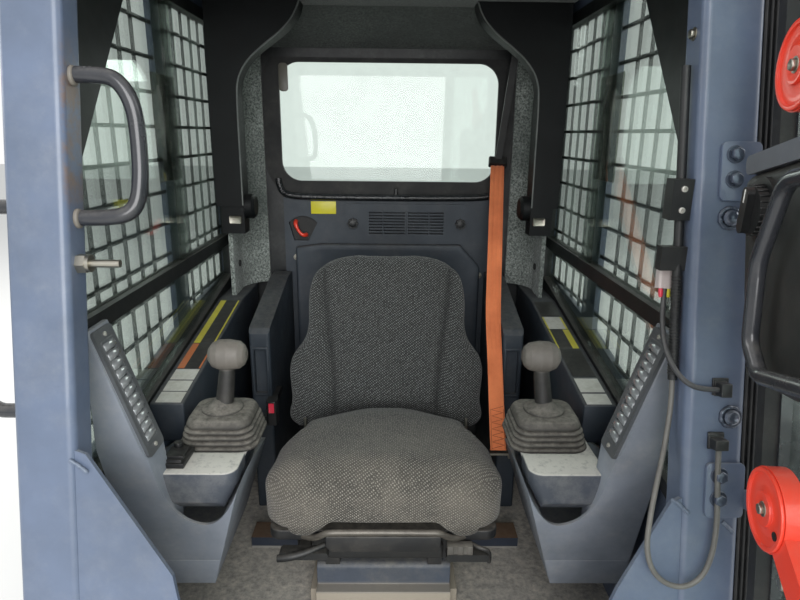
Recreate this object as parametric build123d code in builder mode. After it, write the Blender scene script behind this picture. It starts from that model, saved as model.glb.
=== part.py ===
from build123d import *
import os
from math import cos, pi, radians, sin, tan

os.makedirs("parts", exist_ok=True)

# Operator cab of a skid steer loader, in millimetres. +X is to the right as seen through the
# front door, +Y runs into the cab, +Z is up. The origin is the centre of the base bolts.

# Driving sizes of the frame
half_width = 545
post_width = 90
post_depth = 60
tube_wall = 5
post_radius = 12
rake = 11
post_front_y = -475
post_front_z = 1322
floor_top = 100
floor_plate = 6
skirt_wall = 6
frame_top = 1500
roof_thickness = 50
roof_wall = 5
rear_y = 600
rear_wall_thickness = 40
rail_tube = 28

# Base bolts
bolt_x = 515
bolt_y = 560
bolt_hole = 22
pad_length = 90
pad_thickness = 12

# Side skins, glass and screens
side_skin = 14
opening_rear = 520
opening_top = 1450
mid_post_y = 118
mid_post_width = 96
screen_pitch_y = 70
screen_pitch_z = 75
screen_top = 1385
screen_upright = 10
screen_crossbar = 8
screen_layer = 5
glass_thickness = 5
glass_frame_x = 503
glass_frame_depth = 27
glass_frame_bar = 30
glass_rail_z = 808
glass_rail_bar = 32
glass_rear = 500
glass_top = 1440

# Rear window
window_half = 345
window_low = 994
window_high = 1365
window_radius = 70
window_seal = 43
window_seal_lap = 8
window_seal_depth = 14
window_glass = 6

# Trim
ceiling_z = 1480
headliner_slope_y = 365
headliner_rear_z = 1398
arch_front = 290
arch_rear = 360
arch_low = 950
arch_outer = 478
arch_inner = 404
panel_half = 335
panel_low = 262
panel_depth = 24
tray_inner = 430
tray_front = -220
tray_rear = 330
tray_front_z = 590
tray_rear_z = 672
tray_shelf_z = 500
tray_low = 300
tray_end = 530

# Seat
seat_travel = 60
plinth_half = 145
plinth_front = -300
plinth_rear = 536
plinth_top = 250
plinth_wall = 4
step_height = 200
step_depth = 25
running_gap = 0.3
cushion_half = 250
cushion_rear_half = 198
cushion_shoulder = 238
cushion_shoulder_y = -178
cushion_front = -362
cushion_rear = 16
cushion_low = 368
cushion_top = 492
back_tilt = 23
back_low_half = 262
back_top_half = 176
back_height = 418
back_drop = 46
back_thickness = 70
back_foot_y = 42
back_foot_z = 452

# Consoles
console_outer = 500
console_foot = 349
console_rim = 268
console_low = 245
console_front_low = -350
console_front_high = -455
tower_knee = 611
console_back = -60
console_wall = 6
tower_rear = -375
tower_low = (415, 585)
tower_high = (492, 826)
box_low = 448
box_top = 534
box_inner = 277
box_outer = 424
box_front = -404
box_rear = -325
lever_x = 342
lever_y = -232
deck_z = 524
deck_thickness = 6

# Door
door_axis_x = half_width + 11
door_gap = 30
door_open = 80
door_width = 1100
door_low = 150
door_high = 1500
door_start = 16
door_thickness = 34
door_bar = 30
door_glass = 6
door_corner = 60

rake_tan = tan(radians(rake))
rake_cos = cos(radians(rake))
rake_sin = sin(radians(rake))
post_inner = half_width - post_width


def post_front(z):
    return post_front_y - (post_front_z - z) * rake_tan


def post_rear(z):
    return post_front(z) + post_depth / rake_cos


front_y = post_front(floor_top) - 4
floor_mid_y = (front_y + rear_y) / 2
floor_length = rear_y - front_y
skin_inner = half_width - side_skin
rib_width = 20
cross_y = -22
cross_width = 64
cross_height = 31
cross_inner = plinth_half + rib_width
cross_length = console_foot - cross_inner
cross_mid_x = (console_foot + cross_inner) / 2

# Floor: a plate on channel-shaped sills, with drilled pads at the corners and a cross member
with BuildPart() as floor_pan:
    with BuildSketch(Plane.XY.offset(floor_top - floor_plate)):
        with Locations((0, floor_mid_y)):
            Rectangle(2 * half_width, floor_length)
    extrude(amount=floor_plate)
    with BuildSketch(Plane.XY):
        with Locations((0, floor_mid_y)):
            Rectangle(2 * half_width, floor_length)
            Rectangle(2 * (half_width - skirt_wall), floor_length - 2 * skirt_wall,
                      mode=Mode.SUBTRACT)
            Rectangle(2 * post_inner, floor_length - 2 * post_width)
            Rectangle(2 * (post_inner - skirt_wall), floor_length - 2 * (post_width + skirt_wall),
                      mode=Mode.SUBTRACT)
    extrude(amount=floor_top - floor_plate)
    with BuildSketch(Plane.XY):
        with GridLocations(2 * bolt_x, 2 * bolt_y, 2, 2):
            Rectangle(2 * (half_width - bolt_x), pad_length)
            Circle(bolt_hole / 2, mode=Mode.SUBTRACT)
    extrude(amount=pad_thickness)
    with BuildSketch(Plane.XY.offset(floor_top)):
        with Locations((-cross_mid_x, cross_y), (cross_mid_x, cross_y)):
            Rectangle(cross_length, cross_width)
    extrude(amount=cross_height)
floor_pan.part.label = "floor_pan"
export_step(floor_pan.part, "parts/floor_pan.step")

# Seat plinth: a folded box with a lower step in front, and a rib on each side
with BuildPart() as seat_plinth:
    for inset, cut in [(0, Mode.ADD), (plinth_wall, Mode.SUBTRACT)]:
        with BuildSketch(Plane.YZ.offset(-plinth_half + inset)):
            with BuildLine():
                Polyline((plinth_front - step_depth + inset, floor_top),
                         (plinth_front - step_depth + inset, step_height - inset),
                         (plinth_front + inset, step_height - inset),
                         (plinth_front + inset, plinth_top - inset),
                         (plinth_rear - inset, plinth_top - inset),
                         (plinth_rear - inset, floor_top),
                         (plinth_front - step_depth + inset, floor_top))
            make_face()
        extrude(amount=2 * (plinth_half - inset), mode=cut)
        if inset == 0:
            fillet(seat_plinth.edges().filter_by(Axis.X).group_by(Axis.Z)[-1], 12)
    with BuildSketch(Plane.XY.offset(floor_top)):
        with Locations((plinth_half + rib_width / 2, plinth_front + 120),
                       (-plinth_half - rib_width / 2, plinth_front + 120)):
            Rectangle(rib_width, 180)
    extrude(amount=60)
seat_plinth.part.label = "seat_plinth"
export_step(seat_plinth.part, "parts/seat_plinth.step")

# Front posts: raked square tubes, each with a gusset plate at its foot
# side, weld height, knee X, knee Z, foot X
gussets = [(-1, 685, 316, 500, 296), (1, 616, 364, 482, 318)]
gusset_plate = 8
raked_plane = Plane(origin=(0, post_front(0), 0), x_dir=(1, 0, 0), z_dir=(0, -rake_cos, rake_sin))
with BuildPart() as front_posts:
    for inset, cut in [(0, Mode.ADD), (tube_wall, Mode.SUBTRACT)]:
        with BuildSketch(Plane.YZ.offset(post_inner + inset)):
            with BuildLine():
                Polyline((post_front(floor_top) + inset, floor_top),
                         (post_front(frame_top) + inset, frame_top),
                         (post_rear(frame_top) - inset, frame_top),
                         (post_rear(floor_top) - inset, floor_top),
                         (post_front(floor_top) + inset, floor_top))
            make_face()
        extrude(amount=post_width - 2 * inset, mode=cut)
        if inset == 0:
            fillet(front_posts.edges().filter_by(lambda e: e.length > 1200), post_radius)
    mirror(about=Plane.YZ)
    for side, weld_z, knee_x, knee_z, foot_x in gussets:
        with BuildSketch(raked_plane.offset(-gusset_plate - 4)):
            with BuildLine():
                Polyline((side * (post_inner + 2), floor_top / rake_cos + 4),
                         (side * (post_inner + 2), weld_z / rake_cos + 6),
                         (side * (post_inner - 14), weld_z / rake_cos),
                         (side * knee_x, knee_z / rake_cos),
                         (side * foot_x, (knee_z - 100) / rake_cos),
                         (side * foot_x, floor_top / rake_cos + 4),
                         (side * (post_inner + 2), floor_top / rake_cos + 4))
            make_face()
        extrude(amount=gusset_plate)
front_posts.part.label = "front_posts"
export_step(front_posts.part, "parts/front_posts.step")

# Rear posts with the top side rails between them and the front posts
rail_low = frame_top - 30
with BuildPart() as rear_frame:
    with BuildSketch(Plane.XY.offset(floor_top)):
        with Locations((skin_inner - rail_tube / 2, rear_y - rear_wall_thickness - 11)):
            Rectangle(rail_tube, 22)
    extrude(amount=rail_low - floor_top)
    with BuildSketch(Plane.YZ.offset(skin_inner - rail_tube)):
        with BuildLine():
            Polyline((post_rear(rail_low) + 1, rail_low), (post_rear(frame_top) + 1, frame_top),
                     (rear_y - rear_wall_thickness, frame_top),
                     (rear_y - rear_wall_thickness, rail_low), (post_rear(rail_low) + 1, rail_low))
        make_face()
    extrude(amount=rail_tube)
    mirror(about=Plane.YZ)
rear_frame.part.label = "rear_frame"
export_step(rear_frame.part, "parts/rear_frame.step")

# Header tube between the front posts, above the door opening
header_low = 1405
header_height = 75
with BuildPart() as front_header:
    with BuildSketch(Plane.YZ.offset(-post_inner)):
        with Locations((post_front(header_low + header_height) + 34, header_low + header_height / 2)):
            RectangleRounded(56, header_height, 10)
    extrude(amount=2 * post_inner)
front_header.part.label = "front_header"
export_step(front_header.part, "parts/front_header.step")

# Roof: a pressed pan with a turned-down rim
with BuildPart() as roof_shell:
    with BuildSketch(Plane.XY.offset(frame_top)):
        with Locations((0, (post_front(frame_top) + rear_y) / 2)):
            RectangleRounded(2 * half_width, rear_y - post_front(frame_top), 40)
    extrude(amount=roof_thickness)
    fillet(roof_shell.edges().group_by(Axis.Z)[-1], 22)
    with BuildSketch(Plane.XY.offset(frame_top)):
        with Locations((0, (post_front(frame_top) + rear_y) / 2)):
            RectangleRounded(2 * (half_width - roof_wall),
                             rear_y - post_front(frame_top) - 2 * roof_wall, 35)
    extrude(amount=roof_thickness - roof_wall - 18, mode=Mode.SUBTRACT)
roof_shell.part.label = "roof_shell"
export_step(roof_shell.part, "parts/roof_shell.step")

# Side skins: double panels with the window opening cut on each side of the middle post
sill_front = 560
sill_rear = 712
with BuildPart() as side_panels:
    with BuildSketch(Plane.YZ.offset(skin_inner)):
        with BuildLine():
            Polyline((post_rear(floor_top) + 1, floor_top), (post_rear(frame_top) + 1, frame_top),
                     (rear_y, frame_top), (rear_y, floor_top),
                     (post_rear(floor_top) + 1, floor_top))
        make_face()
        with BuildLine():
            Polyline((post_rear(sill_front) + 30, sill_front),
                     (post_rear(opening_top) + 30, opening_top),
                     (mid_post_y - mid_post_width / 2, opening_top),
                     (mid_post_y - mid_post_width / 2, sill_front + 106),
                     (post_rear(sill_front) + 30, sill_front))
        make_face(mode=Mode.SUBTRACT)
        with BuildLine():
            Polyline((mid_post_y + mid_post_width / 2, sill_front + 122),
                     (mid_post_y + mid_post_width / 2, opening_top),
                     (opening_rear, opening_top), (opening_rear, sill_rear),
                     (mid_post_y + mid_post_width / 2, sill_front + 122))
        make_face(mode=Mode.SUBTRACT)
    extrude(amount=side_skin)
    mirror(about=Plane.YZ)
side_panels.part.label = "side_panels"
export_step(side_panels.part, "parts/side_panels.step")


def window_prism(x0, depth):
    """Solid that fills both window openings between x0 and x0 + depth."""
    outline = Polyline((post_rear(sill_front) + 30, sill_front),
                       (post_rear(opening_top) + 30, opening_top),
                       (mid_post_y - mid_post_width / 2, opening_top),
                       (mid_post_y - mid_post_width / 2, sill_front + 106),
                       (post_rear(sill_front) + 30, sill_front))
    rear_outline = Polyline((mid_post_y + mid_post_width / 2, sill_front + 122),
                            (mid_post_y + mid_post_width / 2, opening_top),
                            (opening_rear, opening_top), (opening_rear, sill_rear),
                            (mid_post_y + mid_post_width / 2, sill_front + 122))
    faces = [make_face(outline.edges()), make_face(rear_outline.edges())]
    return [extrude(Plane.YZ.offset(x0) * face, amount=depth) for face in faces]


# Screens: upright bars outside, crossbars welded behind them
screen_x = skin_inner + 2
upright_places = [mid_post_y + screen_pitch_y * (i + 1.55) for i in range(5)]
upright_places += [mid_post_y - screen_pitch_y * (i + 2) for i in range(8)]
crossbar_places = [screen_top - screen_pitch_z * i for i in range(11)]
front_prism, rear_prism = window_prism(screen_x, 2 * screen_layer)
with BuildPart() as screen_uprights:
    with BuildSketch(Plane.YZ.offset(screen_x + screen_layer)):
        with Locations(*[(y, (sill_front + opening_top) / 2) for y in upright_places]):
            Rectangle(screen_upright, opening_top - sill_front + 40)
    extrude(amount=screen_layer)
    add(front_prism + rear_prism, mode=Mode.INTERSECT)
    mirror(about=Plane.YZ)
screen_uprights.part.label = "screen_uprights"
export_step(screen_uprights.part, "parts/screen_uprights.step")

with BuildPart() as screen_crossbars:
    with BuildSketch(Plane.YZ.offset(screen_x)):
        with Locations(*[(0, z) for z in crossbar_places]):
            Rectangle(2 * rear_y, screen_crossbar)
    extrude(amount=screen_layer)
    add(front_prism + rear_prism, mode=Mode.INTERSECT)
    mirror(about=Plane.YZ)
screen_crossbars.part.label = "screen_crossbars"
export_step(screen_crossbars.part, "parts/screen_crossbars.step")

# Glass frames: a dark rail across each side, and a filled corner at the front top
glass_sill_front = 545
glass_sill_rear = 709
corner_low = (-462, 990)
corner_knee = (-328, 1156)
corner_high = (-99, glass_top)


def upper_glass_outline():
    return Polyline((post_rear(glass_rail_z + glass_rail_bar) + 22, glass_rail_z + glass_rail_bar),
                    corner_low, corner_knee, corner_high, (glass_rear, glass_top),
                    (glass_rear, glass_rail_z + glass_rail_bar),
                    (post_rear(glass_rail_z + glass_rail_bar) + 22, glass_rail_z + glass_rail_bar))


def lower_glass_outline():
    return Polyline((post_rear(glass_sill_front) + 22, glass_sill_front),
                    (post_rear(glass_rail_z) + 22, glass_rail_z), (glass_rear, glass_rail_z),
                    (glass_rear, glass_sill_rear), (post_rear(glass_sill_front) + 22, glass_sill_front))


with BuildPart() as glass_frames:
    with BuildSketch(Plane.YZ.offset(glass_frame_x)):
        with BuildLine():
            Polyline((post_rear(glass_sill_front - glass_frame_bar) + 2,
                      glass_sill_front - glass_frame_bar),
                     (post_rear(rail_low) + 2, rail_low), (glass_rear + glass_frame_bar, rail_low),
                     (glass_rear + glass_frame_bar, glass_sill_rear - glass_frame_bar),
                     (post_rear(glass_sill_front - glass_frame_bar) + 2,
                      glass_sill_front - glass_frame_bar))
        make_face()
        with BuildLine():
            add(upper_glass_outline())
        make_face(mode=Mode.SUBTRACT)
        with BuildLine():
            add(lower_glass_outline())
        make_face(mode=Mode.SUBTRACT)
    extrude(amount=glass_frame_depth)
    mirror(about=Plane.YZ)
glass_frames.part.label = "glass_frames"
export_step(glass_frames.part, "parts/glass_frames.step")

pane_split = mid_post_y + 55
pane_lap = 100
with BuildPart() as side_glass:
    with BuildSketch(Plane.YZ.offset(glass_frame_x + 14)):
        with BuildLine():
            add(upper_glass_outline())
        make_face()
        with Locations((pane_split + 500, 1100)):
            Rectangle(1000, 1000, mode=Mode.SUBTRACT)
    extrude(amount=glass_thickness)
    with BuildSketch(Plane.YZ.offset(glass_frame_x + 6)):
        with BuildLine():
            add(upper_glass_outline())
        make_face()
        with Locations((pane_split - pane_lap - 500, 1100)):
            Rectangle(1000, 1000, mode=Mode.SUBTRACT)
    extrude(amount=glass_thickness)
    with BuildSketch(Plane.YZ.offset(glass_frame_x + 10)):
        with BuildLine():
            add(lower_glass_outline())
        make_face()
    extrude(amount=glass_thickness)
    mirror(about=Plane.YZ)
side_glass.part.label = "side_glass"
export_step(side_glass.part, "parts/side_glass.step")

# Rear wall with its window opening
wall_inner_y = rear_y - rear_wall_thickness
window_mid = (window_low + window_high) / 2
with BuildPart() as rear_wall:
    with BuildSketch(Plane.XZ.offset(-wall_inner_y)):
        with Locations((0, (floor_top + frame_top) / 2)):
            Rectangle(2 * skin_inner, frame_top - floor_top)
        with Locations((0, window_mid)):
            RectangleRounded(2 * window_half, window_high - window_low, window_radius,
                             mode=Mode.SUBTRACT)
    extrude(amount=-rear_wall_thickness)
rear_wall.part.label = "rear_wall"
export_step(rear_wall.part, "parts/rear_wall.step")

with BuildPart() as rear_window:
    with BuildSketch(Plane.XZ.offset(-wall_inner_y)):
        with Locations((0, window_mid)):
            RectangleRounded(2 * window_half, window_high - window_low, window_radius)
    extrude(amount=-window_glass)
rear_window.part.label = "rear_window"
export_step(rear_window.part, "parts/rear_window.step")

with BuildPart() as rear_window_seal:
    with BuildSketch(Plane.XZ.offset(-wall_inner_y)):
        with Locations((0, window_mid)):
            RectangleRounded(2 * (window_half + window_seal), window_high - window_low + 2 * window_seal,
                             window_radius + window_seal)
            RectangleRounded(2 * (window_half - window_seal_lap),
                             window_high - window_low - 2 * window_seal_lap,
                             window_radius - window_seal_lap, mode=Mode.SUBTRACT)
        with Locations((0, window_high + 100)):
            Rectangle(2 * half_width, 2 * (100 - 5), mode=Mode.SUBTRACT)
    extrude(amount=window_seal_depth)
rear_window_seal.part.label = "rear_window_seal"
export_step(rear_window_seal.part, "parts/rear_window_seal.step")

# Rear plastic panel with its raised air grille, louvres, divider and a release recess
grille_left = -140
grille_right = 252
grille_low = 805
grille_high = 933
slot_left = -62
slot_right = 178
slot_count = 8
recess_x = -277
recess_z = 850
panel_front_y = wall_inner_y - panel_depth
panel_high = window_low - window_seal - 1
with BuildPart() as rear_panel:
    with BuildSketch(Plane.XZ.offset(-panel_front_y)):
        with Locations((0, (panel_low + panel_high) / 2)):
            Rectangle(2 * panel_half, panel_high - panel_low)
    extrude(amount=-panel_depth)
    with BuildSketch(Plane.XZ.offset(-panel_front_y)):
        with Locations(((grille_left + grille_right) / 2, (grille_low + grille_high) / 2)):
            RectangleRounded(grille_right - grille_left, grille_high - grille_low, 16)
    extrude(amount=8)
    with BuildSketch(Plane.XZ.offset(-panel_front_y + 8)):
        with Locations(*[((slot_left + slot_right) / 2 + half * (slot_right - slot_left + 10) / 4,
                          grille_low + 34 + i * 9.5) for i in range(slot_count) for half in (-1, 1)]):
            Rectangle((slot_right - slot_left - 10) / 2, 5)
    extrude(amount=-18, mode=Mode.SUBTRACT)
    with BuildSketch(Plane.XZ.offset(-panel_front_y)):
        with BuildLine():
            Polyline((recess_x - 44, recess_z + 20), (recess_x - 28, recess_z - 38),
                     (recess_x + 18, recess_z - 38), (recess_x + 48, recess_z + 20))
            ThreePointArc((recess_x + 48, recess_z + 20), (recess_x, recess_z + 42),
                          (recess_x - 44, recess_z + 20))
        make_face()
    extrude(amount=-18, mode=Mode.SUBTRACT)
rear_panel.part.label = "rear_panel"
export_step(rear_panel.part, "parts/rear_panel.step")

# Small release lever in the recess, and the two knobs beside the grille
with BuildPart() as rear_release:
    with BuildSketch(Plane.XZ.offset(-panel_front_y + 6)):
        with BuildLine():
            FilletPolyline((recess_x - 26, recess_z + 18), (recess_x - 21, recess_z - 10),
                           (recess_x + 4, recess_z - 24), radius=10)
            offset(amount=5)
        make_face()
    extrude(amount=-24)
rear_release.part.label = "rear_release"
export_step(rear_release.part, "parts/rear_release.step")

knob_places = [(grille_left + 26, grille_low + 66), (grille_right - 20, grille_low + 66)]
with BuildPart() as grille_knobs:
    with BuildSketch(Plane.XZ.offset(-panel_front_y + 8)):
        with Locations(*knob_places):
            RegularPolygon(13, 6)
    extrude(amount=16)
grille_knobs.part.label = "grille_knobs"
export_step(grille_knobs.part, "parts/grille_knobs.step")

# Headliner: flat over the seat, sloping down to the rear window
headliner_thickness = 18
with BuildPart() as headliner:
    with BuildSketch(Plane.YZ.offset(-glass_frame_x + 22)):
        with BuildLine():
            Polyline((post_rear(ceiling_z) + 8, ceiling_z), (headliner_slope_y, ceiling_z),
                     (wall_inner_y, headliner_rear_z),
                     (wall_inner_y, headliner_rear_z + headliner_thickness),
                     (headliner_slope_y + 2, ceiling_z + headliner_thickness),
                     (post_rear(ceiling_z) + 8, ceiling_z + headliner_thickness),
                     (post_rear(ceiling_z) + 8, ceiling_z))
        make_face()
    extrude(amount=2 * (glass_frame_x - 22))
headliner.part.label = "headliner"
export_step(headliner.part, "parts/headliner.step")

# Pillar arch: legs down both sides that sweep in to meet the ceiling
arch_sweep = [(arch_inner, 1240), (arch_inner - 6, 1290), (arch_inner - 33, 1333), (arch_inner - 75, 1369),
              (arch_inner - 124, 1404), (arch_inner - 162, 1444), (arch_inner - 174, ceiling_z)]
with BuildPart() as pillar_arch:
    with BuildSketch(Plane.XZ.offset(-arch_front)):
        with BuildLine():
            Spline(*arch_sweep)
            Polyline(arch_sweep[-1], (arch_outer, ceiling_z), (arch_outer, arch_low),
                     (arch_inner, arch_low), arch_sweep[0])
        make_face()
        mirror(about=Plane.YZ)
    extrude(amount=-(arch_rear - arch_front))
pillar_arch.part.label = "pillar_arch"
export_step(pillar_arch.part, "parts/pillar_arch.step")

# Latch domes and blocks at the feet of the arch
dome_height = 28
latch_block = 78
with BuildPart() as arch_latches:
    with BuildSketch(Plane.YZ.offset(arch_inner - dome_height)):
        with Locations((arch_front + 40, arch_low - 4)):
            Circle(35)
    extrude(amount=dome_height)
    chamfer(arch_latches.edges().group_by(Axis.X)[0], 8)
    with BuildSketch(Plane.XY.offset(arch_low - latch_block)):
        with Locations((arch_inner + 31, (arch_front + arch_rear) / 2)):
            Rectangle(62, 56)
    extrude(amount=latch_block)
    mirror(about=Plane.YZ)
arch_latches.part.label = "arch_latches"
export_step(arch_latches.part, "parts/arch_latches.step")

# Corner trims: curved foam sheets from the arch to the rear window
trim_thickness = 12
trim_low = tray_rear_z + 1
trim_end = window_half + window_seal + 2
trim_outer = arch_outer - 20
trim_rear_y = wall_inner_y - 15
slope_drop = (ceiling_z - headliner_rear_z) / (wall_inner_y - headliner_slope_y)
with BuildPart() as corner_trims:
    with BuildSketch(Plane.XY.offset(trim_low)):
        with BuildLine():
            Line((trim_outer, arch_rear), (trim_outer, 430))
            ThreePointArc((trim_outer, 430), (trim_outer - 16, 508), (trim_end, trim_rear_y))
            Line((trim_end, trim_rear_y), (trim_end, trim_rear_y + trim_thickness))
            ThreePointArc((trim_end, trim_rear_y + trim_thickness), (trim_outer - 6, 515),
                          (trim_outer + trim_thickness, 430))
            Polyline((trim_outer + trim_thickness, 430), (trim_outer + trim_thickness, arch_rear),
                     (trim_outer, arch_rear))
        make_face()
    extrude(amount=ceiling_z - trim_low)
    with BuildSketch(Plane.YZ.offset(0)):
        with BuildLine():
            Polyline((headliner_slope_y - 60, ceiling_z - 4),
                     (headliner_slope_y, ceiling_z - 4),
                     (wall_inner_y + 40, ceiling_z - 4 - slope_drop * (wall_inner_y + 40 - headliner_slope_y)),
                     (wall_inner_y + 40, ceiling_z + 60), (headliner_slope_y - 60, ceiling_z + 60),
                     (headliner_slope_y - 60, ceiling_z - 4))
        make_face()
    extrude(amount=half_width, mode=Mode.SUBTRACT)
    mirror(about=Plane.YZ)
corner_trims.part.label = "corner_trims"
export_step(corner_trims.part, "parts/corner_trims.step")

# Side trays: closed boxes with a top that rises to the rear
with BuildPart() as side_trays:
    with BuildSketch(Plane.YZ.offset(tray_inner)):
        with BuildLine():
            Polyline((tray_front, tray_shelf_z), (tray_front, tray_front_z),
                     (tray_rear, tray_rear_z), (tray_end, tray_rear_z), (tray_end, tray_low),
                     (console_back + 1, tray_low), (console_back + 1, tray_shelf_z),
                     (tray_front, tray_shelf_z))
        make_face()
    extrude(amount=glass_frame_x - tray_inner)
    mirror(about=Plane.YZ)
side_trays.part.label = "side_trays"
export_step(side_trays.part, "parts/side_trays.step")

def console_front(z):
    """Y of the consoles' front face at height z."""
    slope = (console_front_high - console_front_low) / (tower_knee - console_low)
    return console_front_low + (z - console_low) * slope


# Consoles: a tower that carries the vent over a trough with a scooped front
pocket_rear = -300
pocket_top = 560
pocket_outer = 393
pocket_low = console_low + console_wall
pocket_rim = (console_rim + console_wall + 2, pocket_top)
with BuildPart() as console_pocket:
    with BuildSketch(Plane.YZ.offset(console_rim)):
        with BuildLine():
            Polyline((console_front(pocket_low) + console_wall + 2, pocket_low),
                     (console_front(pocket_top) + console_wall + 2, pocket_top),
                     (pocket_rear, pocket_top), (pocket_rear, pocket_low),
                     (console_front(pocket_low) + console_wall + 2, pocket_low))
        make_face()
    extrude(amount=console_outer - console_rim)
    with BuildSketch(Plane.XZ.offset(200)):
        with BuildLine():
            Polyline((pocket_outer, pocket_low), (console_foot + console_wall, pocket_low), pocket_rim,
                     (pocket_outer + 12, pocket_top), (pocket_outer, 440), (pocket_outer, pocket_low))
        make_face()
    extrude(amount=400, both=True, mode=Mode.INTERSECT)

scoop_lip = [(console_rim, 516), (304, 446), (338, 421), (372, 433), (395, 465), (408, 511), tower_low]
with BuildPart() as consoles:
    with BuildSketch(Plane.YZ.offset(console_rim)):
        with BuildLine():
            Polyline((console_front_low, console_low), (console_front_high, tower_knee),
                     (console_front_high + 4, tower_high[1]), (tower_rear, tower_high[1]),
                     (tower_rear, 522), (console_back, 424), (console_back, console_low),
                     (console_front_low, console_low))
        make_face()
    extrude(amount=console_outer - console_rim)
    with BuildSketch(Plane.XZ.offset(200)):
        with BuildLine():
            Polyline(tower_low, tower_high, (console_outer, tower_high[1]),
                     (console_outer, console_low), (console_foot, console_low), scoop_lip[0])
            Spline(*scoop_lip)
        make_face()
    extrude(amount=400, both=True, mode=Mode.INTERSECT)
    with BuildSketch(Plane.XZ.offset(-(console_back - console_wall))):
        with BuildLine():
            Polyline((console_outer - console_wall, pocket_low), (console_foot + console_wall, pocket_low),
                     pocket_rim, (console_outer - console_wall, pocket_top),
                     (console_outer - console_wall, pocket_low))
        make_face()
    extrude(amount=console_back - console_wall - tower_rear - 5, mode=Mode.SUBTRACT)
    add(console_pocket.part, mode=Mode.SUBTRACT)
    mirror(about=Plane.YZ)
consoles.part.label = "consoles"
export_step(consoles.part, "parts/consoles.step")

# Vents on the towers: a frame with a slot for each louvre, lying on the sloped inner face
vent_length = 244
vent_width = 66
vent_thickness = 6
louvre_count = 10
louvre_pitch = 19
tower_slope = (tower_high[0] - tower_low[0], tower_high[1] - tower_low[1])
tower_run = (tower_slope[0] ** 2 + tower_slope[1] ** 2) ** 0.5
tower_face = Plane(origin=(tower_low[0] + tower_slope[0] / 2, (tower_rear + console_front_high + 3) / 2,
                           tower_low[1] + tower_slope[1] / 2),
                   x_dir=(0, 1, 0),
                   z_dir=(-tower_slope[1] / tower_run, 0, tower_slope[0] / tower_run))
with BuildPart() as console_vents:
    with BuildSketch(tower_face):
        RectangleRounded(vent_width, vent_length, 8)
        with GridLocations(0, louvre_pitch, 1, louvre_count):
            Rectangle(34, louvre_pitch - 6, mode=Mode.SUBTRACT)
    extrude(amount=vent_thickness)
    mirror(about=Plane.YZ)
console_vents.part.label = "console_vents"
export_step(console_vents.part, "parts/console_vents.step")

# Control boxes in the scoops, with the deck that carries the lever boots
with BuildPart() as control_boxes:
    with BuildSketch(Plane.YZ.offset(box_inner)):
        with BuildLine():
            Polyline((box_rear, box_low + 12), (box_rear, box_top), (box_front + 6, box_top),
                     (box_front, box_top - 8), (box_front + 8, box_low + 16),
                     (box_front + 24, box_low), (box_rear - 12, box_low), (box_rear, box_low + 12))
        make_face()
    extrude(amount=box_outer - box_inner)
    with BuildSketch(Plane.XZ.offset(-box_rear)):
        with BuildLine():
            Polyline((box_outer, box_low), (box_inner + 31, box_low), (box_inner + 19, box_low + 34),
                     (box_inner, box_low + 58), (box_inner, box_top), (box_outer, box_top),
                     (box_outer, box_low))
        make_face()
    extrude(amount=box_rear - box_front, mode=Mode.INTERSECT)
    fillet(control_boxes.edges().filter_by(lambda e: abs(e.center().X - box_inner) < 0.5
                                           and e.length < box_rear - box_front), 7)
    with BuildSketch(Plane.XY.offset(deck_z)):
        with BuildLine():
            Polyline((box_inner + 2, box_rear - 1), (tray_inner, box_rear - 1), (tray_inner, -150),
                     (box_inner + 2, -150), (box_inner + 2, box_rear - 1))
        make_face()
    extrude(amount=-deck_thickness)
    add(consoles.part, mode=Mode.SUBTRACT)
    mirror(about=Plane.YZ)
control_boxes.part.label = "control_boxes"
export_step(control_boxes.part, "parts/control_boxes.step")

# Lever boots: square bellows that step in towards a round collar
pleat_count = 4
pleat_height = 7
pleat_neck = 4
with BuildPart() as lever_boots:
    for i in range(pleat_count):
        low = deck_z + i * (pleat_height + pleat_neck)
        shrink = 6 * i
        with BuildSketch(Plane.XY.offset(low)):
            with Locations((lever_x, lever_y)):
                RectangleRounded(160 - shrink, 152 - shrink, 34)
        extrude(amount=pleat_height)
        with BuildSketch(Plane.XY.offset(low + pleat_height)):
            with Locations((lever_x, lever_y)):
                RectangleRounded(146 - shrink, 138 - shrink, 28)
        extrude(amount=pleat_neck)
    boot_top = deck_z + pleat_count * (pleat_height + pleat_neck)
    with BuildSketch(Plane.XY.offset(boot_top)):
        with Locations((lever_x, lever_y)):
            RectangleRounded(132, 126, 30)
    extrude(amount=16, taper=16)
    with BuildSketch(Plane.XY.offset(boot_top + 16)):
        with Locations((lever_x - 2, lever_y + 4)):
            Circle(43)
    extrude(amount=7)
    mirror(about=Plane.YZ)
lever_boots.part.label = "lever_boots"
export_step(lever_boots.part, "parts/lever_boots.step")

# Levers: a leaning stalk under a barrel-shaped grip head
grip_x = 330
grip_y = -215
grip_z = 700
stalk_foot = boot_top + 23
grip_profile = [(0, 0), (0, 12), (4, 21), (14, 29), (36, 33), (56, 32), (70, 26), (78, 15), (78, 0)]
with BuildPart() as lever_grips:
    with BuildSketch(Plane.XY.offset(stalk_foot)):
        with Locations((lever_x - 2, lever_y + 4)):
            Circle(19)
    with BuildSketch(Plane.XY.offset(grip_z - 14)):
        with Locations((grip_x, grip_y)):
            Circle(16)
    loft()
    with BuildSketch(Plane(origin=(grip_x - 40, grip_y, grip_z), x_dir=(1, 0, 0), z_dir=(0, -1, 0))):
        with BuildLine():
            Polyline(*grip_profile, (0, 0))
        make_face()
    revolve(axis=Axis((grip_x, grip_y, grip_z), (1, 0, 0)))
    mirror(about=Plane.YZ)
lever_grips.part.label = "lever_grips"
export_step(lever_grips.part, "parts/lever_grips.step")

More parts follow.
